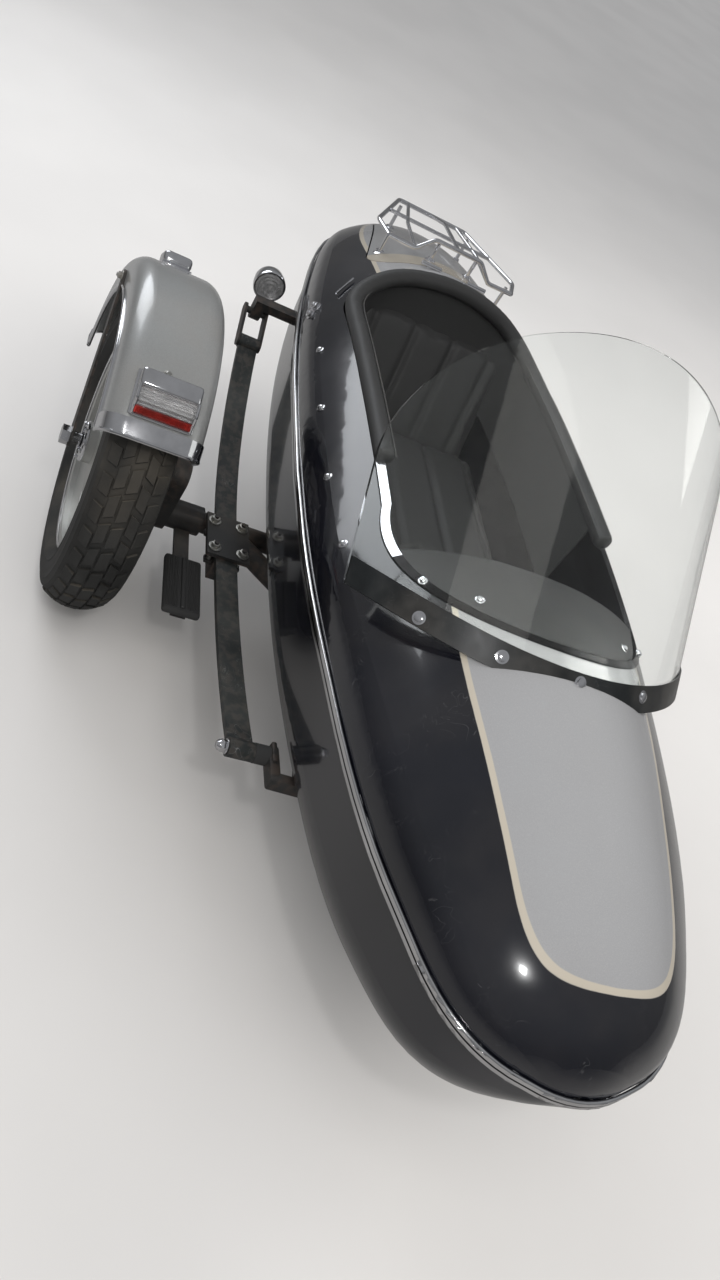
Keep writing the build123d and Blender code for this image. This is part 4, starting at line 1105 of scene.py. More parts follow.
class Surface:
    """CAD nodes that small pieces are set on, in the chassis frame."""

    def __init__(self, *nodes: str) -> None:
        """Gather the nodes' triangles."""
        points, faces = [], []
        for node in nodes:
            mesh = frame["nodes"][node].data
            first = len(points)
            points.extend(TO_CHASSIS @ v.co for v in mesh.vertices)
            faces.extend([first + i for i in p.vertices] for p in mesh.polygons)
        self.tree = BVHTree.FromPolygons(points, faces)

    def seen(self, u: float, v: float) -> Matrix:
        """Axes on the surface where the photograph shows a pixel, with Z outwards.

        Args:
            u: Pixels from the photograph's left edge.
            v: Pixels from its top edge.

        Returns:
            The axes.
        """
        start, way = PHOTO.ray(u, v)
        place, normal, _, _ = self.tree.ray_cast(start, way)
        if normal.dot(way) > 0:
            normal = -normal
        return axes_at(place, normal)

    def seen_all(self, pixels: Iterable[tuple[float, float]]) -> list[Matrix]:
        """Axes on the surface at each of several pixels."""
        return [self.seen(*pixel) for pixel in pixels]

    def under(self, x: float, y: float, height: float = 1.2) -> Matrix:
        """Axes on the surface straight below a point, with Z outwards.

        Args:
            x: The point's X.
            y: Its Y.
            height: Its Z.

        Returns:
            The axes.
        """
        place, normal, _, _ = self.tree.ray_cast(Vector((x, y, height)), Vector((0, 0, -1)))
        if normal.z < 0:
            normal = -normal
        return axes_at(place, normal)


# Wheel


@dataclass(frozen=True)
class TreadRow:
    """One row of the tread's blocks, on both sides where it lies off the middle.

    The skew is a block's shift round the tyre for each metre across it, and the shift its start as
    a share of the pitch.
    """

    offset: float
    width: float
    length: float
    skew: float
    shift: float


@dataclass
class Wheel:
    """Tyre with its tread, rim trims and hub."""

    radius: float = AXLE_Z
    crown: float = 0.086
    crown_half: float = 0.056
    tread: float = 0.0055
    sunk: float = 0.003
    pitches: int = 36
    rows: tuple[TreadRow, ...] = (
        TreadRow(0.0, 0.021, 0.044, 0.45, 0.0),
        TreadRow(0.0235, 0.019, 0.042, -0.6, 0.5),
        TreadRow(0.0455, 0.019, 0.036, 0.35, 0.1),
    )
    cap_bolts: int = 5
    cap_bolt_circle: float = 0.0345
    valve_turn: float = 1.9
    valve_foot: Point = (0.1925, 0, 0.036)
    valve_tilt: float = -50.0

    def on_tread(self, point: Vector) -> Point:
        """Place on the crown of a point given as arc, side and height above the grooves.

        Args:
            point: The point's arc length, side and height.

        Returns:
            Its place in the chassis frame.
        """
        side = max(-0.99, min(0.99, point.y / self.crown))
        rise = point.z - self.tread
        radius = self.radius - self.crown + (self.crown + rise) * sqrt(1 - side * side)
        return round_axle(point.x / self.radius * 180 / pi, radius, point.y + side * rise)

    def build_tyre(self) -> None:
        """Carcass with sidewall ribs, and the tread's blocks on it."""
        shape = Shape()
        low = self.radius - self.tread - self.crown
        across = [step * self.crown_half / 8 for step in range(9)]
        crown = [(y, low + sqrt(self.crown**2 - y * y)) for y in across]
        side = [(0.0605, 0.2935), (0.0640, 0.281), (0.0648, 0.2795), (0.0642, 0.2780), (0.0658, 0.268),
                (0.0660, 0.258), (0.0652, 0.247), (0.0660, 0.2455), (0.0660, 0.2425), (0.0645, 0.241),
                (0.0575, 0.227), (0.0475, 0.2195), (0.0430, 0.2150), (0.0430, 0.2042), (0.0310, 0.2042),
                (0.0310, 0.216)]
        inside = [(0.052, 0.240), (0.056, 0.258), (0.050, 0.284), (0.030, 0.300)]
        half = crown + side + inside
        loop = [(-y, r) for y, r in reversed(half[1:])] + half
        shape.arc(loop, 0, 360, 96)
        for pitch in range(self.pitches):
            for row in self.rows:
                for sign in ((1, -1) if row.offset else (1,)):
                    self.add_block(shape, pitch, sign, row)
        shape.piece("tyre_with_tread", Finishes.TYRE, Body.WHEEL, "tyre", ["tyre"], 32)

    def add_block(self, shape: Shape, pitch: int, sign: int, row: TreadRow) -> None:
        """Add one block of the tread, skewed and wrapped onto the crown.

        Args:
            shape: The tyre.
            pitch: The block's place round the tyre.
            sign: Its side of the middle.
            row: The row that it is in.
        """
        step = 2 * pi * self.radius / self.pitches
        part = Shape()
        part.box((row.length, row.width, self.tread + self.sunk), Matrix.Identity(4), 0.0012, 1)
        lift = (self.tread - self.sunk) / 2
        middle = (pitch + row.shift + (0.5 if sign < 0 else 0.0)) * step

        def move(point: Vector) -> Point:
            """Place on the tyre of one point of the flat block."""
            y = sign * row.offset + point.y
            return self.on_tread(Vector((middle + point.x + sign * row.skew * point.y, y, point.z + lift)))

        part.map(move)
        bmesh.ops.recalc_face_normals(part.bm, faces=part.bm.faces)
        shape.take(part.bm)

    def build_trims(self) -> None:
        """Polished rim lip, hub cap with its bolts, and the valve."""
        outward = axes_at((0, 0, AXLE_Z), (0, -1, 0))
        shape = Shape()
        lip = [(0.2145, 0.0436), (0.2175, 0.0437), (0.2190, 0.0452), (0.2190, 0.0498), (0.2172, 0.0515),
               (0.2140, 0.0512), (0.2085, 0.0498), (0.2085, 0.0488), (0.2135, 0.0490), (0.2145, 0.0436)]
        shape.lathe(lip, outward, 96)
        cap = [(0, 0.0602), (0.0405, 0.0602), (0.0415, 0.0612), (0.0415, 0.063), (0.0385, 0.0665),
               (0.031, 0.068), (0.030, 0.0692), (0.0275, 0.0692), (0.0275, 0.0602)]
        shape.lathe(cap, outward, 64)
        for step in range(self.cap_bolts):
            turn = Matrix.Rotation(step * 2 * pi / self.cap_bolts, 4, "Z")
            shape.nut(outward @ turn @ Matrix.Translation((self.cap_bolt_circle, 0, 0.0666)), 0.0048)
        shape.piece("wheel_bright_trims", Finishes.CHROME, Body.WHEEL, "chrome")
        valve = Shape()
        foot = outward @ Matrix.Rotation(self.valve_turn, 4, "Z") @ Matrix.Translation(self.valve_foot)
        stem = foot @ Matrix.Rotation(radians(self.valve_tilt), 4, "Y")
        valve.disc(0.0055, 0.006, stem, 16, 0.001)
        valve.disc(0.0032, 0.026, stem, 16, 0.0006)
        valve.disc(0.0042, 0.008, stem @ Matrix.Translation((0, 0, 0.022)), 12, 0.0008)
        valve.piece("valve", Finishes.RUBBER, Body.WHEEL, "tyre")

    def build(self) -> None:
        """Make the wheel's pieces and dress its CAD nodes."""
        self.build_tyre()
        self.build_trims()
        dress("wheel_rim", Finishes.ALLOY)
        dress("brake_disc", Finishes.STEEL)


def dress(node: str, finish: Finish) -> None:
    """Give a CAD node that stays in view its detailed material."""
    for slot in frame["nodes"][node].material_slots:
        slot.material = finish.build()


# Fender and its lamps


@dataclass
class Fender:
    """Fender trims, lamps, stays and bolts."""

    radius: float = 0.370
    half: float = 0.088
    skirt: float = 0.302
    rounding: float = 0.038
    front: float = 42.0
    rear: float = 176.0
    lamp_angle: float = 53.0
    rear_lamp_angle: float = 128.0
    stay_angle: float = 118.0
    stay_radius: float = 0.318
    bead: float = 0.0042
    lip_bead: float = 0.0038
    front_lip: float = 4.2
    bolt_pixel: tuple = (168, 375)
    lamp_base: Point = (0.078, 0.112, 0.006)
    lamp_hood: Point = (0.034, 0.106, 0.030)
    lamp_tray: Point = (0.050, 0.106, 0.010)
    lamp_wall: Point = (0.040, 0.003, 0.014)
    lamp_side: float = 0.0505
    lamp_slope: float = 26.0
    lens_width: float = 0.098
    lens_ribs: int = 5
    rear_base: Point = (0.070, 0.060, 0.005)
    rear_hood: Point = (0.050, 0.058, 0.026)
    rear_lens: Point = (0.012, 0.050, 0.020)
    rear_ribs: int = 6

    def section(self, proud: float, low: float) -> list[tuple[float, float]]:
        """Y and radius along the fender's section, set out by a little.

        Args:
            proud: How far it is set out.
            low: The radius at which its sides end.

        Returns:
            The points from the right side over to the left.
        """
        half, radius, rounding = self.half + proud, self.radius + proud, self.rounding + proud
        right = [(-half, low)]
        for step in range(7):
            turn = radians(15 * step)
            right.append((-half + rounding * (1 - cos(turn)), radius - rounding * (1 - sin(turn))))
        return right + [(-y, r) for y, r in reversed(right)]

    def build_trims(self) -> None:
        """Bright beads along both edges and broad lips at the ends."""
        shape = Shape()
        for sign in (-1, 1):
            bead = []
            for step in range(12):
                turn = 2 * pi * step / 12
                bead.append((sign * self.half + self.bead * cos(turn), self.skirt + self.bead * sin(turn)))
            shape.arc(bead, self.front, self.rear, 72)
        low = self.skirt - 0.004
        band = self.section(0.0025, low) + self.section(0.0002, low)[::-1]
        shape.arc(band, self.front - 0.6, self.front + self.front_lip, 4)
        shape.arc(band, self.rear - 1.6, self.rear + 0.4, 3)
        for angle in (self.front - 0.6, self.rear + 0.4):
            rim = [round_axle(angle, r, y) for y, r in self.section(0.0, self.skirt)]
            shape.tube(rim, self.lip_bead, sides=3)
        shape.piece("fender_bright_edge", Finishes.CHROME, Body.CHASSIS, "chrome")
        bolts = Shape()
        lid = Surface("fender")
        bolts.cap(lid.seen(*self.bolt_pixel), 0.0075)
        for sign in (-1, 1):
            foot = round_axle(self.stay_angle, self.stay_radius, sign * (self.half + 0.005))
            bolts.nut(axes_at(foot, (0, sign, 0)), 0.0075, 0.010)
        bolts.piece("fender_bolts", Finishes.ZINC, Body.CHASSIS, "chrome")

    def build_front_lamp(self) -> None:
        """Bright hooded housing with a ribbed, sloping lens that is clear above red."""
        up = Vector((cos(radians(self.lamp_angle)), 0, sin(radians(self.lamp_angle))))
        axes = axes_at(round_axle(self.lamp_angle, self.radius), up, (up.z, 0, -up.x))
        shape = Shape()
        shape.box(self.lamp_base, axes @ Matrix.Translation((0, 0, 0.0028)), 0.002)
        shape.box(self.lamp_hood, axes @ Matrix.Translation((-0.020, 0, 0.0185)), 0.007, 3)
        shape.box(self.lamp_tray, axes @ Matrix.Translation((0.012, 0, 0.008)), 0.003)
        for y in (-self.lamp_side, self.lamp_side):
            cheek = [(-0.006, y, 0.0315), (0.016, y, 0.0285), (0.0385, y, 0.0075)]
            shape.tube([axes @ Vector(p) for p in cheek], 0.0027, 0.006, 3)
            shape.box(self.lamp_wall, axes @ Matrix.Translation((0.012, y, 0.0135)), 0.001, 1)
        lip = [axes @ Vector((0.0385, y, 0.0075)) for y in (-self.lamp_side, self.lamp_side)]
        shape.tube(lip, 0.003, sides=3)
        shape.piece("front_lamp_housing", Finishes.CHROME, Body.CHASSIS, "chrome", ["fender_front_lamp"])
        tilt = Matrix.Rotation(radians(self.lamp_slope), 4, "Y")
        slope = axes @ Matrix.Translation((0.015, 0, 0.0185)) @ tilt
        self.add_lens("clear", Finishes.LENS, slope, -0.022, 0.010)
        self.add_lens("red", Finishes.RED, slope, 0.010, 0.024)

    def add_lens(self, name: str, finish: Finish, slope: Matrix, low: float, high: float) -> None:
        """Make one part of the front lamp's ribbed lens.

        Args:
            name: The part's name.
            finish: Its material.
            slope: The lens's axes, with X down its slope.
            low: Where it starts along X.
            high: Where it ends.
        """
        lens = Shape()
        middle = slope @ Matrix.Translation(((low + high) / 2, 0, 0))
        lens.box((high - low - 0.0006, self.lens_width, 0.011), middle, 0.002)
        for line in range(self.lens_ribs):
            x = low + 0.003 + line * (high - low - 0.006) / (self.lens_ribs - 1)
            rib = slope @ Matrix.Translation((x, 0, 0.0056))
            lens.box((0.0024, self.lens_width - 0.006, 0.0026), rib, 0.0009, 1)
        lens.piece(f"front_lamp_{name}_lens", finish, Body.CHASSIS, "clear_sheet")

    def build_rear_lamp(self) -> None:
        """Bright bar across the fender with a red lens behind."""
        up = Vector((cos(radians(self.rear_lamp_angle)), 0, sin(radians(self.rear_lamp_angle))))
        axes = axes_at(round_axle(self.rear_lamp_angle, self.radius), up, (-up.z, 0, up.x))
        shape = Shape()
        shape.box(self.rear_base, axes @ Matrix.Translation((0, 0, 0.0022)), 0.0018)
        shape.box(self.rear_hood, axes @ Matrix.Translation((-0.004, 0, 0.0165)), 0.009, 4)
        shape.piece("rear_lamp_housing", Finishes.CHROME, Body.CHASSIS, "chrome", ["fender_rear_lamp"])
        lens = Shape()
        lens.box(self.rear_lens, axes @ Matrix.Translation((0.0225, 0, 0.0155)), 0.004, 3)
        for step in range(self.rear_ribs):
            y = -0.0175 + step * 0.007
            lens.box((0.002, 0.0026, 0.016), axes @ Matrix.Translation((0.0285, y, 0.0155)), 0.0007, 1)
        lens.piece("rear_lamp_lens", Finishes.RED, Body.CHASSIS, "clear_sheet")

    def build(self) -> None:
        """Make the fender's pieces and dress its CAD nodes."""
        dress("fender", Finishes.FENDER)
        dress("fender_stays", Finishes.FRAME)
        self.build_trims()
        self.build_front_lamp()
        self.build_rear_lamp()


# Chassis


@dataclass
class Chassis:
    """Springs, brackets, step and what hangs on the frame."""

    spring_front: tuple = (0.655, 0.315)
    clamp_x: float = 0.085
    clamp_bolt_x: float = 0.04
    clamp_bolt_y: float = 0.03
    clamp_top: float = 0.2733
    clamp_low: float = 0.2352
    clamp_bar: Point = (0.018, 0.078, 0.008)
    step: tuple = (0.192, 0.190, 0.214)
    step_pad: Point = (0.158, 0.078, 0.018)
    step_ribs: int = 5
    turn_lamp: Point = (-0.655, 0.288, 0.470)
    turn_lamp_foot: Point = (-0.562, 0.288, 0.466)

    def build_clamps(self) -> None:
        """Nuts and washers on the spring clamps, and the bolts and bars below."""
        nuts, bars = Shape(), Shape()
        for y in SPRING_Y:
            for x in (self.clamp_x - self.clamp_bolt_x, self.clamp_x + self.clamp_bolt_x):
                for side in (y - self.clamp_bolt_y, y + self.clamp_bolt_y):
                    nuts.nut(Matrix.Translation((x, side, self.clamp_top)), 0.0095, 0.0135)
                    nuts.disc(0.005, 0.030, Matrix.Translation((x, side, self.clamp_low)), 16)
                bars.box(self.clamp_bar, Matrix.Translation((x, y, self.clamp_low)), 0.002)
        nuts.piece("clamp_nuts", Finishes.ZINC, Body.CHASSIS, "bare_steel")
        bars.piece("clamp_bars", Finishes.FRAME, Body.CHASSIS, "black_metal")

    def build_front_brackets(self) -> None:
        """Bush, eye plate and cranked arm from each spring to the body."""
        x, z = self.spring_front
        arm, bright, bush = Shape(), Shape(), Shape()
        for y, sign in zip(SPRING_Y, (1, -1)):
            def at(offset: float) -> Matrix:
                """Axes on the pin, with Z towards the body's middle."""
                return axes_at((x, y + sign * offset, z), (0, sign, 0), (1, 0, 0))

            sleeve = [(0.0085, 0.0235), (0.0165, 0.0235), (0.0175, 0.0245),
                      (0.0175, 0.0505), (0.0165, 0.0515), (0.0085, 0.0515)]
            bush.lathe(sleeve, at(0), 40)
            bright.disc(0.0135, 0.0025, at(-0.0262), 28, 0.0006)
            bright.disc(0.0115, 0.009, at(-0.0352), 6, 0.001)
            dome = [(0, -0.0438), (0.006, -0.0425), (0.0095, -0.0385), (0.0100, -0.0352), (0, -0.0352)]
            bright.lathe(dome, at(0), 32)
            bright.disc(0.008, 0.055, at(-0.030), 24)
            arm.box((0.040, 0.036, 0.010), at(0.0565), 0.003)
            arm.disc(0.019, 0.012, at(0.0515), 36, 0.0015)
            corners = [(x, y + sign * 0.0565, z), (x + 0.046, y + sign * 0.060, z - 0.004),
                       (x + 0.050, y + sign * 0.108, z - 0.002), (x - 0.006, y + sign * 0.112, z + 0.002)]
            for a, b in zip(corners, corners[1:]):
                run = Vector(b) - Vector(a)
                middle = (Vector(a) + Vector(b)) / 2
                arm.box((0.030, 0.020, run.length + 0.018), axes_at(middle, run, (0, 0, 1)), 0.004)
        arm.piece("front_bracket_arms", Finishes.FRAME, Body.CHASSIS, "black_metal", ["front_brackets"])
        bright.piece("front_bracket_nuts", Finishes.CHROME, Body.CHASSIS, "chrome")
        bush.piece("front_bracket_bushes", Finishes.RUBBER, Body.CHASSIS, "black_rubber")

    def build_step(self) -> None:
        """Ribbed rubber pad on the step, with its bolts."""
        x, y, top = self.step
        shape = Shape()
        shape.box(self.step_pad, Matrix.Translation((x, y, top - 0.0105)), 0.007, 3)
        for side in (-1, 1):
            for line in range(self.step_ribs):
                place = Matrix.Translation((x, y + side * (0.0125 + line * 0.0052), top - 0.0010))
                shape.box((0.140, 0.0028, 0.003), place, 0.0009, 1)
        shape.box((0.142, 0.009, 0.008), Matrix.Translation((x, y, top + 0.0005)), 0.0025, 3)
        shape.piece("step_rubber", Finishes.RUBBER, Body.CHASSIS, "black_rubber", ["step_pad"])
        bolts = Shape()
        for dx in (-0.03, 0.03):
            bolts.nut(axes_at((x + dx, y, top - 0.030), (0, 0, -1)), 0.008, 0.0105)
        bolts.piece("step_bolts", Finishes.ZINC, Body.CHASSIS, "bare_steel")

    def build_turn_lamp(self) -> None:
        """Bright bowl, ringed lens and stem of the turn lamp."""
        x, y, z = self.turn_lamp
        ahead = axes_at(self.turn_lamp, (1, 0, 0))
        shape = Shape()
        bowl = [(0, -0.0425), (0.008, -0.0418), (0.018, -0.038), (0.028, -0.029),
                (0.035, -0.015), (0.0385, 0.003), (0.0395, 0.014), (0.0395, 0.020),
                (0.0378, 0.0225), (0.0345, 0.0225), (0.0345, 0.014), (0, 0.010)]
        shape.lathe(bowl, ahead, 56)
        stem = [(x, y, z - 0.036), (x + 0.012, y, z - 0.050), (x + 0.05, y, z - 0.030), self.turn_lamp_foot]
        shape.tube(stem, 0.0055, sides=4)
        shape.nut(axes_at((x, y, z - 0.036), (0, 0, -1)), 0.009)
        shape.piece("turn_lamp_bowl", Finishes.CHROME, Body.CHASSIS, "chrome", ["turn_lamp"])
        rings = [(0, 0.016), (0.034, 0.016), (0.034, 0.0225), (0.030, 0.0265), (0.027, 0.0258),
                 (0.024, 0.0305), (0.020, 0.0298), (0.016, 0.0338), (0.011, 0.0330), (0.006, 0.0362),
                 (0, 0.0370)]
        lens = Shape()
        lens.lathe(rings, ahead, 56)
        lens.piece("turn_lamp_lens", Finishes.LENS, Body.CHASSIS, "clear_sheet")

    def build(self) -> None:
        """Make the chassis's pieces and dress its CAD nodes."""
        for node in ("left_rail", "cross_tube", "diagonal_tube", "front_fork", "rear_fork", "front_strut_lug",
                     "rear_strut_lug", "axle_casting", "brake_caliper", "spring_saddles", "spring_clamps",
                     "rear_shackles", "rear_brackets"):
            dress(node, Finishes.FRAME)
        for node in ("left_leaf_spring", "right_leaf_spring"):
            dress(node, Finishes.SPRING)
        dress("axle_spindle", Finishes.CHROME)
        self.build_clamps()
        self.build_front_brackets()
        self.build_step()
        self.build_turn_lamp()


# Body


@dataclass
class BodyShell:
    """Painted body, its mouldings, windshield fittings, studs and luggage rack."""

    deck_studs: tuple = ((320, 350), (321, 408), (328, 477), (343, 544))
    flap_studs: tuple = ((423, 581), (480, 600))
    strip_bolts: tuple = ((419, 618), (502, 657), (580, 683), (642, 697))
    latch_pixels: tuple = ((311, 315), (316, 308))
    lever_pixels: tuple = ((337, 296), (354, 281))
    rack_radius: float = 0.0052
    rack_thin: float = 0.0052 * 0.85
    rack_low: float = 0.752
    rack_high: float = 0.786
    rack_front: float = -0.530
    rack_rear: float = -0.803
    rack_rear_z: float = 0.738

    def build_studs(self) -> None:
        """Press studs along the deck, and bolts in the windshield's base strip."""
        shape = Shape()
        for pixels, nodes, size in ((self.deck_studs, ("deck", "tub"), 0.0085),
                                    (self.flap_studs, ("dash_flap", "deck", "cowl_trim"), 0.008)):
            for place in Surface(*nodes).seen_all(pixels):
                shape.cap(place, size)
        shape.mirrored()
        shape.piece("press_studs", Finishes.CHROME, Body.CHASSIS, "chrome")
        bolts = Shape()
        head = [(0, 0), (0.0105, 0), (0.0105, 0.0014), (0.0075, 0.0018), (0.0068, 0.0046), (0.004, 0.0056),
                (0, 0.0056)]
        for place in Surface("windshield_strip").seen_all(self.strip_bolts):
            bolts.lathe(head, place, 28)
        bolts.piece("strip_bolts", Finishes.CHROME, Body.CHASSIS, "chrome")

    def build_rack(self) -> None:
        """Bright tube rack that follows the trunk lid."""
        low, high = self.rack_low, self.rack_high
        front, rear, rear_z = self.rack_front, self.rack_rear, self.rack_rear_z
        lid = Surface("trunk_lid")

        def path(*corners: Point) -> list[tuple[float, float, float]]:
            """Corners of the rack whose Y starts at the body's middle."""
            return [(x, BODY_Y + y, z) for x, y, z in corners]

        shape = Shape()
        ring = path(
            (front, -0.168, low), (-0.592, -0.187, low), (rear, -0.096, rear_z),
            (rear, 0.096, rear_z), (-0.592, 0.187, low), (front, 0.168, low),
        )
        shape.tube(ring, self.rack_radius, 0.022, 5)
        hoop = path(
            (front, -0.168, low), (-0.526, -0.100, low), (-0.536, -0.062, high),
            (-0.536, 0.062, high), (-0.526, 0.100, low), (front, 0.168, low),
        )
        shape.tube(hoop, self.rack_radius, 0.018, 5)
        for sign in (-1, 1):
            rail = path(
                (rear, sign * 0.070, rear_z), (-0.660, sign * 0.098, 0.748), (-0.526, sign * 0.100, low),
            )
            shape.tube(rail, self.rack_thin, 0.02, 5)
        shape.tube(path((rear, 0, rear_z), (-0.700, 0, 0.770), (-0.536, 0, high)), self.rack_thin, 0.02, 5)
        shape.tube(path((-0.690, -0.140, 0.746), (-0.690, 0.140, 0.746)), self.rack_thin, sides=5)
        flange = [(0, 0), (0.013, 0), (0.013, 0.002), (0.008, 0.004), (0.0055, 0.009), (0, 0.009)]
        for x, y, top in ((-0.555, 0.160, low), (-0.762, 0.098, 0.740), (-0.536, 0.050, high)):
            for sign in (-1, 1):
                foot = lid.under(x, BODY_Y + sign * y)
                start = foot.translation
                shape.tube([start - foot.col[2].to_3d() * 0.001, (start.x, start.y, top)], 0.0046, sides=4)
                shape.lathe(flange, foot, 24)
        shape.piece("rack_tubes", Finishes.CHROME, Body.TRUNK, "chrome", ["luggage_rack"])

    def build_moulding(self) -> None:
        """Rounded bright moulding round the body, made from its CAD band."""
        copy = bmesh.new()
        copy.from_mesh(frame["nodes"]["belt_moulding"].data)
        bmesh.ops.transform(copy, matrix=TO_CHASSIS, verts=copy.verts)
        bmesh.ops.remove_doubles(copy, verts=copy.verts, dist=1e-5)
        bmesh.ops.dissolve_limit(copy, angle_limit=radians(1.5), verts=copy.verts, edges=copy.edges)
        rims = [e for e in copy.edges if e.is_manifold and e.calc_face_angle(0) > radians(60) and
                abs(e.verts[0].co.z - e.verts[1].co.z) < 1e-4]
        bmesh.ops.bevel(
            copy, geom=rims, offset=0.0028, offset_type="OFFSET", affect="EDGES", segments=3, profile=0.5,
            material=-1,
        )
        bmesh.ops.triangulate(copy, faces=[f for f in copy.faces if len(f.verts) > 4])
        shape = Shape().take(copy)
        shape.piece("belt_bright_moulding", Finishes.BELT, Body.CHASSIS, "chrome", ["belt_moulding"])

    def build_fittings(self) -> None:
        """Latch and lever on the deck beside the roll."""
        deck = Surface("deck", "tub")
        shape = Shape()
        for place, size in zip(deck.seen_all(self.latch_pixels), (0.008, 0.010)):
            shape.nut(place, size, size * 1.4)
        ends = deck.seen_all(self.lever_pixels)
        shape.tube([place.translation + place.col[2].to_3d() * 0.006 for place in ends], 0.0024, sides=3)
        shape.piece("deck_fittings", Finishes.CHROME, Body.CHASSIS, "chrome")

    def build(self) -> None:
        """Make the body's pieces and dress its CAD nodes."""
        dress("tub", Finishes.BODY)
        dress("deck", Finishes.DECK)
        dress("body_ends", Finishes.BODY)
        dress("trunk_lid", Finishes.LID)
        dress("cowl_trim", Finishes.EDGING)
        dress("lid_hinges", Finishes.CHROME)
        dress("windshield", Finishes.SHEET)
        dress("windshield_strip", Finishes.PLASTIC)
        dress("seat_box", Finishes.BOARD)
        self.build_studs()
        self.build_rack()
        self.build_moulding()
        self.build_fittings()


# Upholstery


@dataclass
class Padding:
    """Cushions, rolls, flap and mat of the cockpit."""

    pressure: float = 4.0
    frames: int = 20
    sag: float = 0.042
    flap_front: float = 0.660
    flap_half: float = 0.245
    cushion: Point = (0.470, 0.420, 0.088)
    cushion_lines: tuple = (-0.165, -0.055, 0.055, 0.165)
    cushion_low: float = 0.3606
    cushion_high: float = 0.4695
    back: Point = (0.425, 0.325, 0.062)
    back_lean: float = 20.0
    back_lines: tuple = (-0.15, -0.05, 0.05, 0.15)
    line_half: float = 0.008
    roll_radius: float = 0.0192
    roll_sunk: float = 0.0205
    roll_end: float = 0.245
    lining_drops: tuple = ((0.05, 0.0), (0.06, 0.004), (0.06, 0.010))
    mat_low: Point = (0.230, BODY_Y - 0.120, 0.2738)
    mat_high: Point = (0.640, BODY_Y + 0.120, 0.2798)
    mat_ribs: int = 21

    def puff(self, shape: Shape, name: str, cap: float = 0.012, voxel: float = 0.006) -> bmesh.types.BMesh:
        """Swell a closed shape like stuffed vinyl.

        Args:
            shape: The shape to swell, in chassis metres.
            name: A name for the object that is simulated.
            cap: How far a point may move.
            voxel: The size of the mesh's cells.

        Returns:
            The swollen mesh.
        """
        mesh = bpy.data.meshes.new(name + "_raw")
        shape.bm.to_mesh(mesh)
        shape.bm.free()
        item = bpy.data.objects.new(name + "_raw", mesh)
        bpy.context.scene.collection.objects.link(item)
        remesh = item.modifiers.new("Remesh", "REMESH")
        remesh.mode = "VOXEL"
        remesh.voxel_size = voxel
        graph = bpy.context.evaluated_depsgraph_get()
        dense = bpy.data.meshes.new_from_object(item.evaluated_get(graph))
        item.modifiers.clear()
        item.data = dense
        start = [v.co.copy() for v in dense.vertices]
        cloth = item.modifiers.new("Cloth", "CLOTH")
        cloth.settings.use_pressure = True
        cloth.settings.uniform_pressure_force = self.pressure
        cloth.settings.effector_weights.gravity = 0
        cloth.settings.quality = 4
        scene = bpy.context.scene
        for step in range(1, self.frames + 1):
            scene.frame_set(step)
        graph = bpy.context.evaluated_depsgraph_get()
        full = bpy.data.meshes.new_from_object(item.evaluated_get(graph))
        item.modifiers.clear()
        for vert, before in zip(full.vertices, start):
            move = vert.co - before
            if move.length > cap:
                vert.co = before + move.normalized() * cap
        item.data = full
        scene.frame_set(1)
        result = bmesh.new()
        result.from_mesh(item.data)
        bpy.data.objects.remove(item)
        bmesh.ops.smooth_vert(
            result, verts=result.verts, factor=0.5, use_axis_x=True, use_axis_y=True, use_axis_z=True,
        )
        return result

    def plan(self, stations: Sequence[float], half: float, rear: float,
             corner: float) -> list[tuple[float, float]]:
        """Line round the cockpit's rear, from its right side to its left.

        Args:
            stations: X of the points along each side, from the front.
            half: Half its width.
            rear: X of its rear.
            corner: The radius of its two corners.

        Returns:
            Points as X and distance from the body's middle.
        """
        points = [(x, -half) for x in (*stations, rear + corner)]
        for step in range(1, 6):
            turn = radians(18 * step)
            points.append((rear + corner * (1 - sin(turn)), -half + corner * (1 - cos(turn))))
        points += [(rear, -0.05), (rear, 0.0)]
        return points + [(x, -y) for x, y in reversed(points[:-1])]

    def finish(self, mesh: bmesh.types.BMesh, name: str, nodes: Iterable[str], fill: float) -> None:
        """Make a swollen mesh into a padded piece, one step finer.

        Args:
            mesh: The swollen mesh.
            name: The piece's name.
            nodes: The CAD nodes that it replaces.
            fill: How much of its space its filling takes; not used.
        """
        shape = Shape()
        shape.take(mesh)
        item = shape.piece(name, Finishes.VINYL, Body.CHASSIS, "black_vinyl", nodes, 60)
        finer = item.modifiers.new("Subdivision", "SUBSURF")
        finer.levels = 1
        finer.render_levels = 1

    def build_cushion(self) -> None:
        """Seat cushion with sewn channels across its top."""
        shape = Shape()
        shape.box(self.cushion, Matrix.Translation((-0.040, BODY_Y, 0.4085)), 0.026, 4)
        mesh = self.puff(shape, "seat_cushion_pad")
        for vert in mesh.verts:
            if vert.co.z < 0.4:
                vert.co.z = max(vert.co.z, self.cushion_low)
                continue
            for line in self.cushion_lines:
                off = (vert.co.y - BODY_Y - line) / self.line_half
                vert.co.z -= 0.009 * exp(-off * off)
            edge = (abs(vert.co.x + 0.040) - 0.205) / 0.006
            vert.co.z -= 0.004 * exp(-edge * edge)
            vert.co.z = min(vert.co.z, self.cushion_high)
        self.finish(mesh, "seat_cushion_pad", ["seat_cushion"], 0.7)

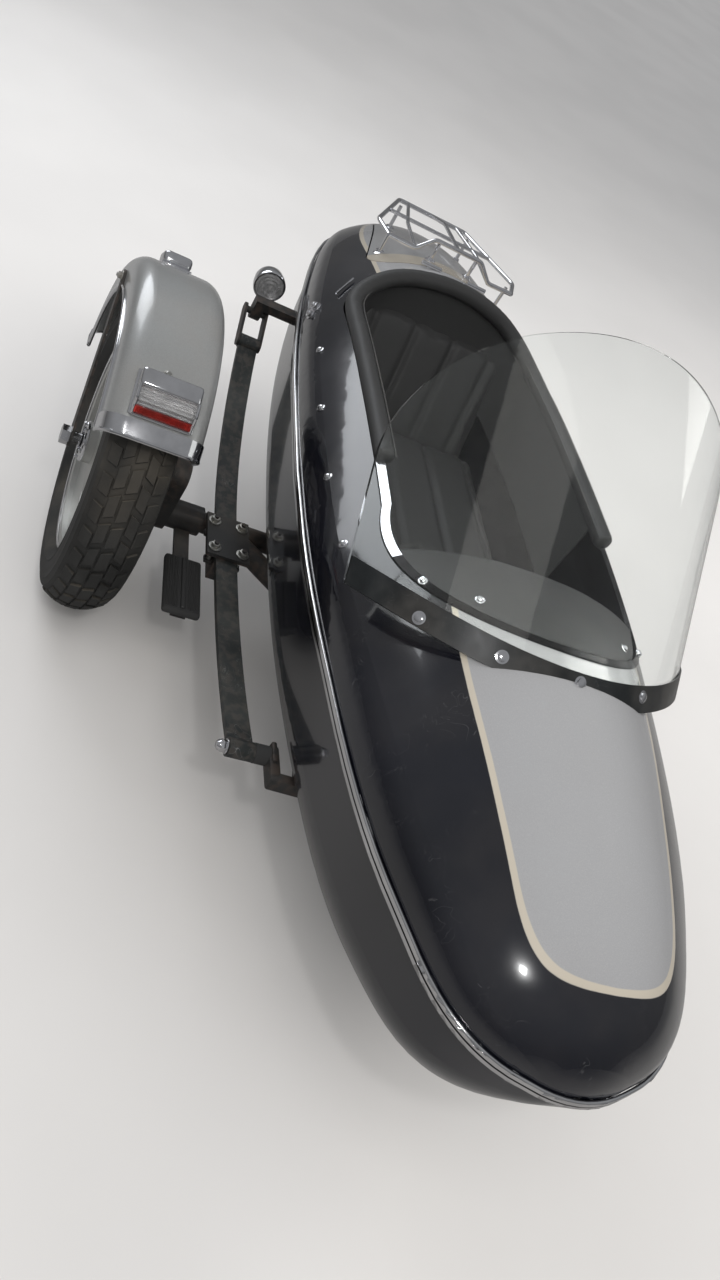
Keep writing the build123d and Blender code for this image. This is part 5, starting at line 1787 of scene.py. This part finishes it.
    def build_back(self) -> None:
        """Leaning backrest with upright channels."""
        lean = radians(self.back_lean)
        up = Vector((-sin(lean), 0, cos(lean)))
        ahead = Vector((cos(lean), 0, sin(lean)))
        foot = Vector((-0.2835, BODY_Y, 0.360))
        axes = axes_at(foot + up * 0.175 - ahead * 0.0425, ahead, (0, 1, 0))
        shape = Shape()
        shape.box(self.back, axes, 0.024, 4)
        mesh = self.puff(shape, "seat_back_pad")
        inverse = axes.inverted()
        for vert in mesh.verts:
            local = inverse @ vert.co
            if local.z > 0.005:
                offs = [(local.x - line) / self.line_half for line in self.back_lines]
                vert.co -= ahead * sum(0.008 * exp(-(off ** 2)) for off in offs)
        self.finish(mesh, "seat_back_pad", ["seat_back"], 0.7)

    def build_roll(self) -> None:
        """Padded roll round the rear and the sides of the cockpit."""
        top = Surface("coaming_roll")
        points = []
        for x, y in self.plan((0.262, 0.150, 0.0, -0.150), 0.2445, -0.4060, 0.136):
            place = top.under(min(x, self.roll_end), BODY_Y + y).translation
            points.append((x, BODY_Y + y, place.z - self.roll_sunk))
        shape = Shape()
        shape.tube(points, self.roll_radius, sides=6)
        mesh = self.puff(shape, "coaming_pad", 0.003)
        self.finish(mesh, "coaming_pad", ["coaming_roll"], 0.9)
        seam = Shape()
        line = [(x, y + (0.019 if y < BODY_Y else -0.019) * min(1, abs(y - BODY_Y) / 0.2), z + 0.010)
                for x, y, z in points]
        seam.tube(line, 0.0016, sides=3)
        seam.piece("coaming_piping", Finishes.STITCH, Body.CHASSIS, "black_vinyl")

    def build_flap(self) -> None:
        """Thin padded flap over the dash, sagging behind its front."""
        source = bmesh.new()
        source.from_mesh(frame["nodes"]["dash_flap"].data)
        bmesh.ops.transform(source, matrix=TO_CHASSIS, verts=source.verts)
        bmesh.ops.remove_doubles(source, verts=source.verts, dist=1e-5)
        shape = Shape()
        shape.take(source)
        mesh = self.puff(shape, "dash_flap_pad", 0.0012, 0.0035)
        for vert in mesh.verts:
            along = min(1.0, max(0.0, (self.flap_front - vert.co.x) / 0.180))
            across = cos(min(1.0, abs(vert.co.y - BODY_Y) / self.flap_half) * pi / 2)
            vert.co.z -= self.sag * along * along * across
        self.finish(mesh, "dash_flap_pad", ["dash_flap"], 0.3)

    def build_lining(self) -> None:
        """Vinyl lining from the roll down behind and beside the seat back."""
        roll = Surface("coaming_roll")
        part = bmesh.new()
        verts = []
        for x, y in self.plan((0.215, 0.05, -0.12), 0.2330, -0.4090, 0.126):
            top = roll.under(x, BODY_Y + y).translation.z - 0.036
            verts.append(part.verts.new((x, BODY_Y + y, top)))
        edges = [part.edges.new(pair) for pair in zip(verts, verts[1:])]
        for drop, inward in self.lining_drops:
            grown = bmesh.ops.extrude_edge_only(part, edges=edges)["geom"]
            edges = [g for g in grown if isinstance(g, bmesh.types.BMEdge) and len(g.link_faces) == 1
                     and all(v in grown for v in g.verts)]
            for vert in {v for e in edges for v in e.verts}:
                vert.co.z -= drop
                vert.co.x += inward if vert.co.x < -0.3 else 0.0
        bmesh.ops.recalc_face_normals(part, faces=part.faces)
        bmesh.ops.solidify(part, geom=part.faces[:], thickness=0.004)
        Shape().take(part).piece("cockpit_lining", Finishes.VINYL, Body.CHASSIS, "black_vinyl", sharp=50)

    def build_mat(self) -> None:
        """Ribbed rubber mat on the floor."""
        low, high = Vector(self.mat_low), Vector(self.mat_high)
        size = high - low
        middle = (low + high) / 2
        shape = Shape()
        shape.box((size.x, size.y, 0.004), Matrix.Translation(middle - Vector((0, 0, 0.001))), 0.0012)
        for line in range(self.mat_ribs):
            y = low.y + 0.012 + line * (size.y - 0.024) / (self.mat_ribs - 1)
            rib = Matrix.Translation((middle.x, y, high.z - 0.0013))
            shape.box((size.x - 0.02, 0.004, 0.0025), rib, 0.0008, 1)
        shape.piece("ribbed_mat", Finishes.RUBBER, Body.CHASSIS, "black_rubber", ["floor_mat"])

    def build(self) -> None:
        """Make every padded piece."""
        self.build_cushion()
        self.build_back()
        self.build_roll()
        self.build_flap()
        self.build_lining()
        self.build_mat()


# Studio


@dataclass(frozen=True)
class Lamp:
    """Soft square lamp: its name, place, side, watts, colour, and whether bright surfaces show it."""

    name: str
    place: Point
    size: float
    power: float
    colour: Colour
    mirrored: bool = True


@dataclass
class Studio:
    """Pale floor, soft lamps and an even sky."""

    floor_size: float = 90.0
    floor_colour: Colour = (0.74, 0.72, 0.7)
    sky: float = 0.62
    mirrored: float = 0.4
    aim: Point = (0.0, 0.0, 0.4)
    lamps: tuple = (
        Lamp("key", (2.6, -0.9, 3.9), 3.0, 75, (1.0, 0.97, 0.93), False),
        Lamp("flash", (1.75, -0.55, 2.3), 0.12, 6, (1.0, 1.0, 1.0)),
        Lamp("fill", (-2.6, -1.6, 2.6), 2.2, 45, (0.93, 0.96, 1.0)),
        Lamp("back", (-0.8, 3.2, 2.8), 2.0, 55, (1.0, 0.98, 0.95), False),
    )

    def build_floor(self) -> None:
        """Plain pale floor with a faint mottle."""
        part = bmesh.new()
        bmesh.ops.create_grid(part, x_segments=1, y_segments=1, size=self.floor_size / 2)
        mesh = bpy.data.meshes.new("floor")
        part.to_mesh(mesh)
        part.free()
        material = FloorPaint(
            "studio_floor", self.floor_colour, 0.8, tone=0.02, tone_scale=1.5, bump=0.00005, dust=0.0,
            mirrored=self.mirrored,
        ).build()
        mesh.materials.append(material)
        floor = bpy.data.objects.new("floor", mesh)
        bpy.context.scene.collection.objects.link(floor)

    def add_lamp(self, lamp: Lamp) -> None:
        """Hang one lamp that looks at the object.

        Args:
            lamp: What it is and where it hangs.
        """
        data = bpy.data.lights.new(lamp.name, "AREA")
        data.size = lamp.size
        data.energy = lamp.power
        data.color = lamp.colour
        item = bpy.data.objects.new(lamp.name, data)
        item.location = lamp.place
        item.visible_glossy = lamp.mirrored
        item.rotation_euler = (Vector(self.aim) - Vector(lamp.place)).to_track_quat("-Z", "Y").to_euler()
        bpy.context.scene.collection.objects.link(item)

    def build_sky(self) -> None:
        """World that is bright above and dim below, and pale to the camera."""
        world = bpy.data.worlds.new("studio")
        world.use_nodes = True
        world.node_tree.nodes.clear()
        graph = Graph(world.node_tree)
        way = graph.add("SeparateXYZ", {0: graph.add("TexCoord").outputs["Generated"]})
        lift = graph.ramp(way.outputs[2], -0.15, 0.7, 0.25, 1.0)
        tone = graph.mix(lift, (0.2, 0.19, 0.18, 1), (0.95, 0.97, 1.0, 1))
        path = graph.add("LightPath")
        share = graph.math("MULTIPLY_ADD", graph.mirror_ray(), self.mirrored - 1, 1.0)
        light = graph.add("Background", {0: tone, 1: graph.math("MULTIPLY", share, self.sky)})
        seen = graph.add("Background", {0: (0.86, 0.86, 0.86, 1), 1: 1.0})
        straight = graph.math("MAXIMUM", path.outputs["Is Camera Ray"], path.outputs["Is Transmission Ray"])
        both = graph.add("MixShader", {0: straight, 1: light.outputs[0], 2: seen.outputs[0]})
        graph.add("OutputWorld", {0: both.outputs[0]})
        bpy.context.scene.world = world

    def build(self) -> None:
        """Set the stage, the lamps and the view."""
        self.build_floor()
        self.build_sky()
        for lamp in self.lamps:
            self.add_lamp(lamp)
        bpy.context.scene.view_settings.view_transform = "Standard"


def main() -> None:
    """Build the camera, the studio and every sub-assembly in order."""
    logging.basicConfig(level=logging.INFO, format="%(name)s: %(message)s")
    PHOTO.build()
    Studio().build()
    for part in (Wheel(), Fender(), Chassis(), BodyShell(), Padding()):
        LOG.info("building %s", type(part).__name__)
        part.build()


if __name__ == "__main__":
    main()
